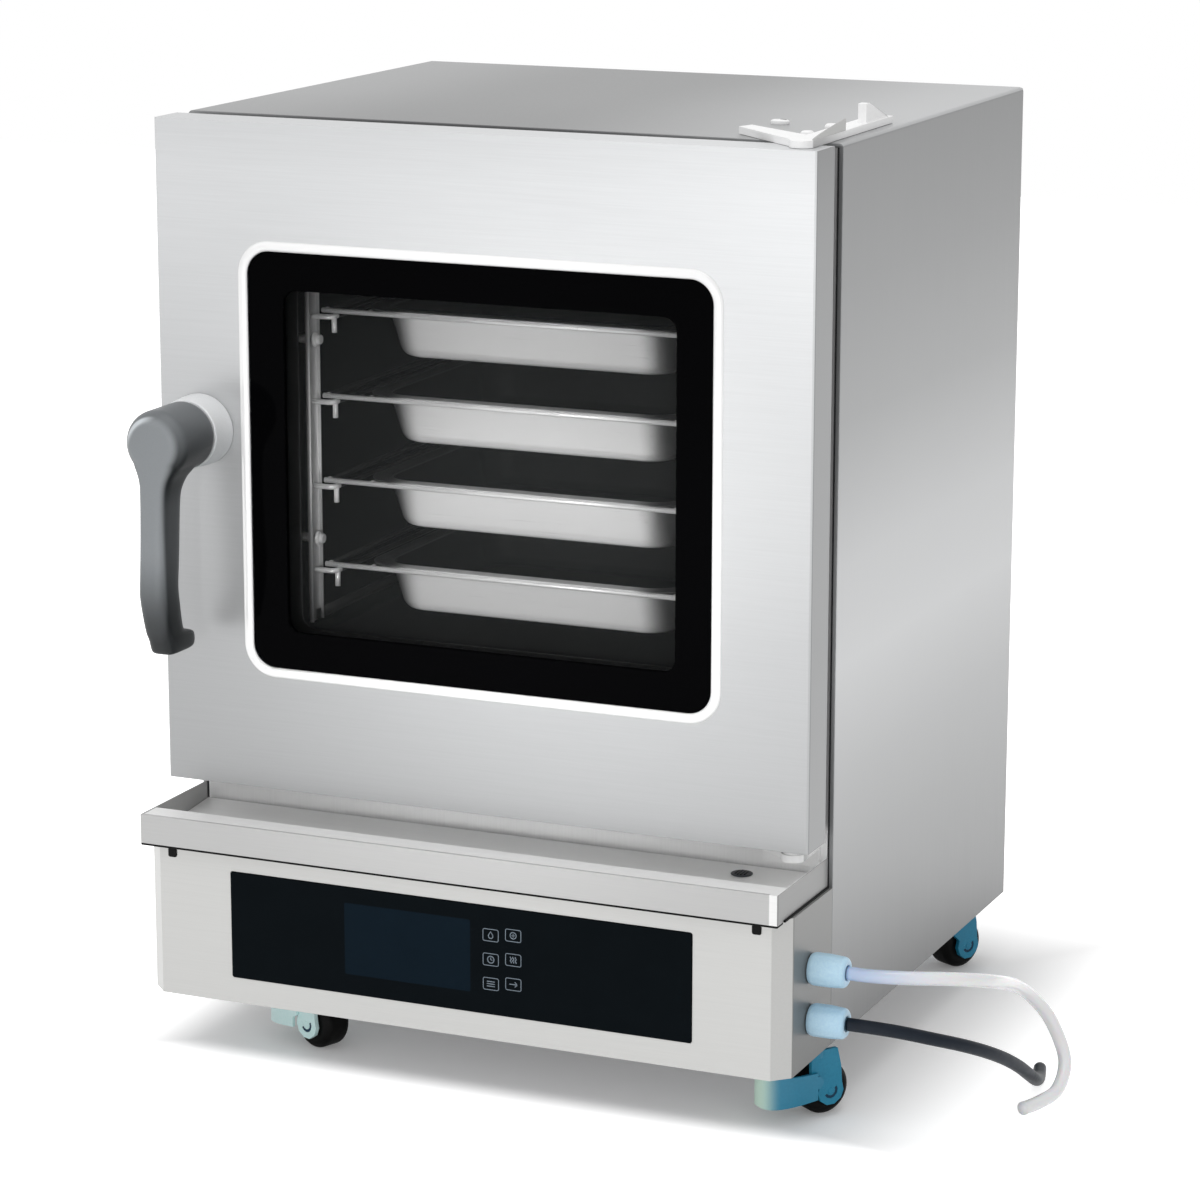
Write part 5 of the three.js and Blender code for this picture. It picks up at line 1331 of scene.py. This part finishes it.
# Painted shade: the slots are black bars standing in for the dark of the holes.
slots = [
    slab("strainer_slot", (DRAIN_X + x - 0.7, DRAIN_Y - reach, TRAY_FLOOR + 1.2),
         (DRAIN_X + x + 0.7, DRAIN_Y + reach, TRAY_FLOOR + 1.9), 0.2)
    for x, reach in ((-4.5, 5.0), (-1.5, 7.0), (1.5, 7.0), (4.5, 5.0))
]
dress(joined("strainer_slots", slots), "cabinet", black_plastic)
print("strainer done")

# %% [markdown]
# ## Light and floor
#
# A large soft lamp high on the left is the key, a low one lights the tray and the casters from the
# front, one above lights the top, and a weak one fills from the right. A narrow spot looks
# straight in through the window, so that the lowest pan is as bright as the highest. The world
# gives the rest. A camera ray, a reflection and a ray through glass all see white, so the steel
# mirrors a white studio, while the light that reaches the cabinet keeps a plain level. The floor
# is white to the camera too, except in a box round the cabinet where its glow is low: there it
# shows the cabinet's real shadow, and the box's edges paint that shadow's outline as painted
# shadow.


# %% Lamps
def lamp(name, place, aim, power, kind="AREA", **settings):
    """A lamp that points from its place to its aim. Both are measured from the cabinet's front."""
    data = bpy.data.lights.new(name, kind)
    data.energy = power
    for key, value in settings.items():
        setattr(data, key, value)
    made = added(name, data)
    made.location = np.add(place, (0, FRONT, 0))
    way = np.subtract(aim, place)
    yaw = math.atan2(way[0], -way[1])
    pitch = math.atan2(math.hypot(way[0], way[1]), -way[2])
    made.rotation_euler = (pitch, 0, yaw + math.pi)


lamp("key", (-1.2, -2.2, 2.4), (0, 0, 0.6), 22, shape="DISK", size=3.8)
lamp("front", (0.3, -2.6, 0.55), (0, 0, 0.45), 8, shape="DISK", size=1.6)
lamp("fill", (2.4, -1.6, 1.2), (0, 0.2, 0.5), 3, shape="DISK", size=1.6)
lamp("top", (0.3, 0.1, 3.0), (0, 0.2, 0.5), 16, shape="DISK", size=1.8)
lamp(
    "window", (0.3, -2.2, BASE + 0.5), (0, 0, BASE + 0.42), 110, "SPOT",
    spot_size=math.radians(13), spot_blend=0.4, shadow_soft_size=0.15,
)
print("lamps:", len(bpy.data.lights))


# %% World and floor
def seen_directly(tree):
    """1 for a camera ray, a reflection and a ray through glass, and 0 for light on its way."""
    rays = tree.nodes.new("ShaderNodeLightPath").outputs
    seen, mirrored, through_glass = (
        Value(tree, rays[f"Is {kind} Ray"]) for kind in ("Camera", "Glossy", "Transmission")
    )
    return seen.most(mirrored).most(through_glass)


STUDIO_LEVEL = 0.55
world = bpy.data.worlds.new("studio")
scene.world = world
world.use_nodes = True
background = world.node_tree.nodes["Background"]
background.inputs["Color"].default_value = colour(1)
strength = seen_directly(world.node_tree) * (1 - STUDIO_LEVEL) + STUDIO_LEVEL
world.node_tree.links.new(strength.socket, background.inputs["Strength"])

FLOOR_HALF = 6
FLOOR_GLOW = 0.12


def floor_recipe(place):
    """The floor glows white to the camera, and little in a box round the cabinet, a painted
    shadow.
    """
    x, y, _ = axes(place)
    back = y - FRONT
    # Painted shadow: inside this box the glow is low, so the floor is a little grey even where
    # lit, and the box's edges give the shadow its straight outline.
    sides = (0 - x).step(0.30, 0.42).most(x.step(0.30, 0.56))
    ends = (0 - back).step(0.035, 0.10).most(back.step(0.45, 0.80))
    glow = seen_directly(place.tree) * (sides.most(ends) * (1 - FLOOR_GLOW) + FLOOR_GLOW)
    return {"Emission Strength": glow}


floor_paint = finish(
    "floor_paint", floor_recipe, Base_Color=colour(0.92), Roughness=1.0, Specular_IOR_Level=0.0,
    Emission_Color=colour(1),
)
floor_corners = np.array([(-1, -1, 0), (1, -1, 0), (1, 1, 0), (-1, 1, 0)]) * FLOOR_HALF
floor = mesh_object("floor", floor_corners, [(0, 1, 2, 3)])
floor.data.materials.append(floor_paint)
print("world and floor")

# %% [markdown]
# ## Finish
#
# The view keeps plain colours.

# %% Finish
bpy.context.scene.view_settings.view_transform = "Standard"
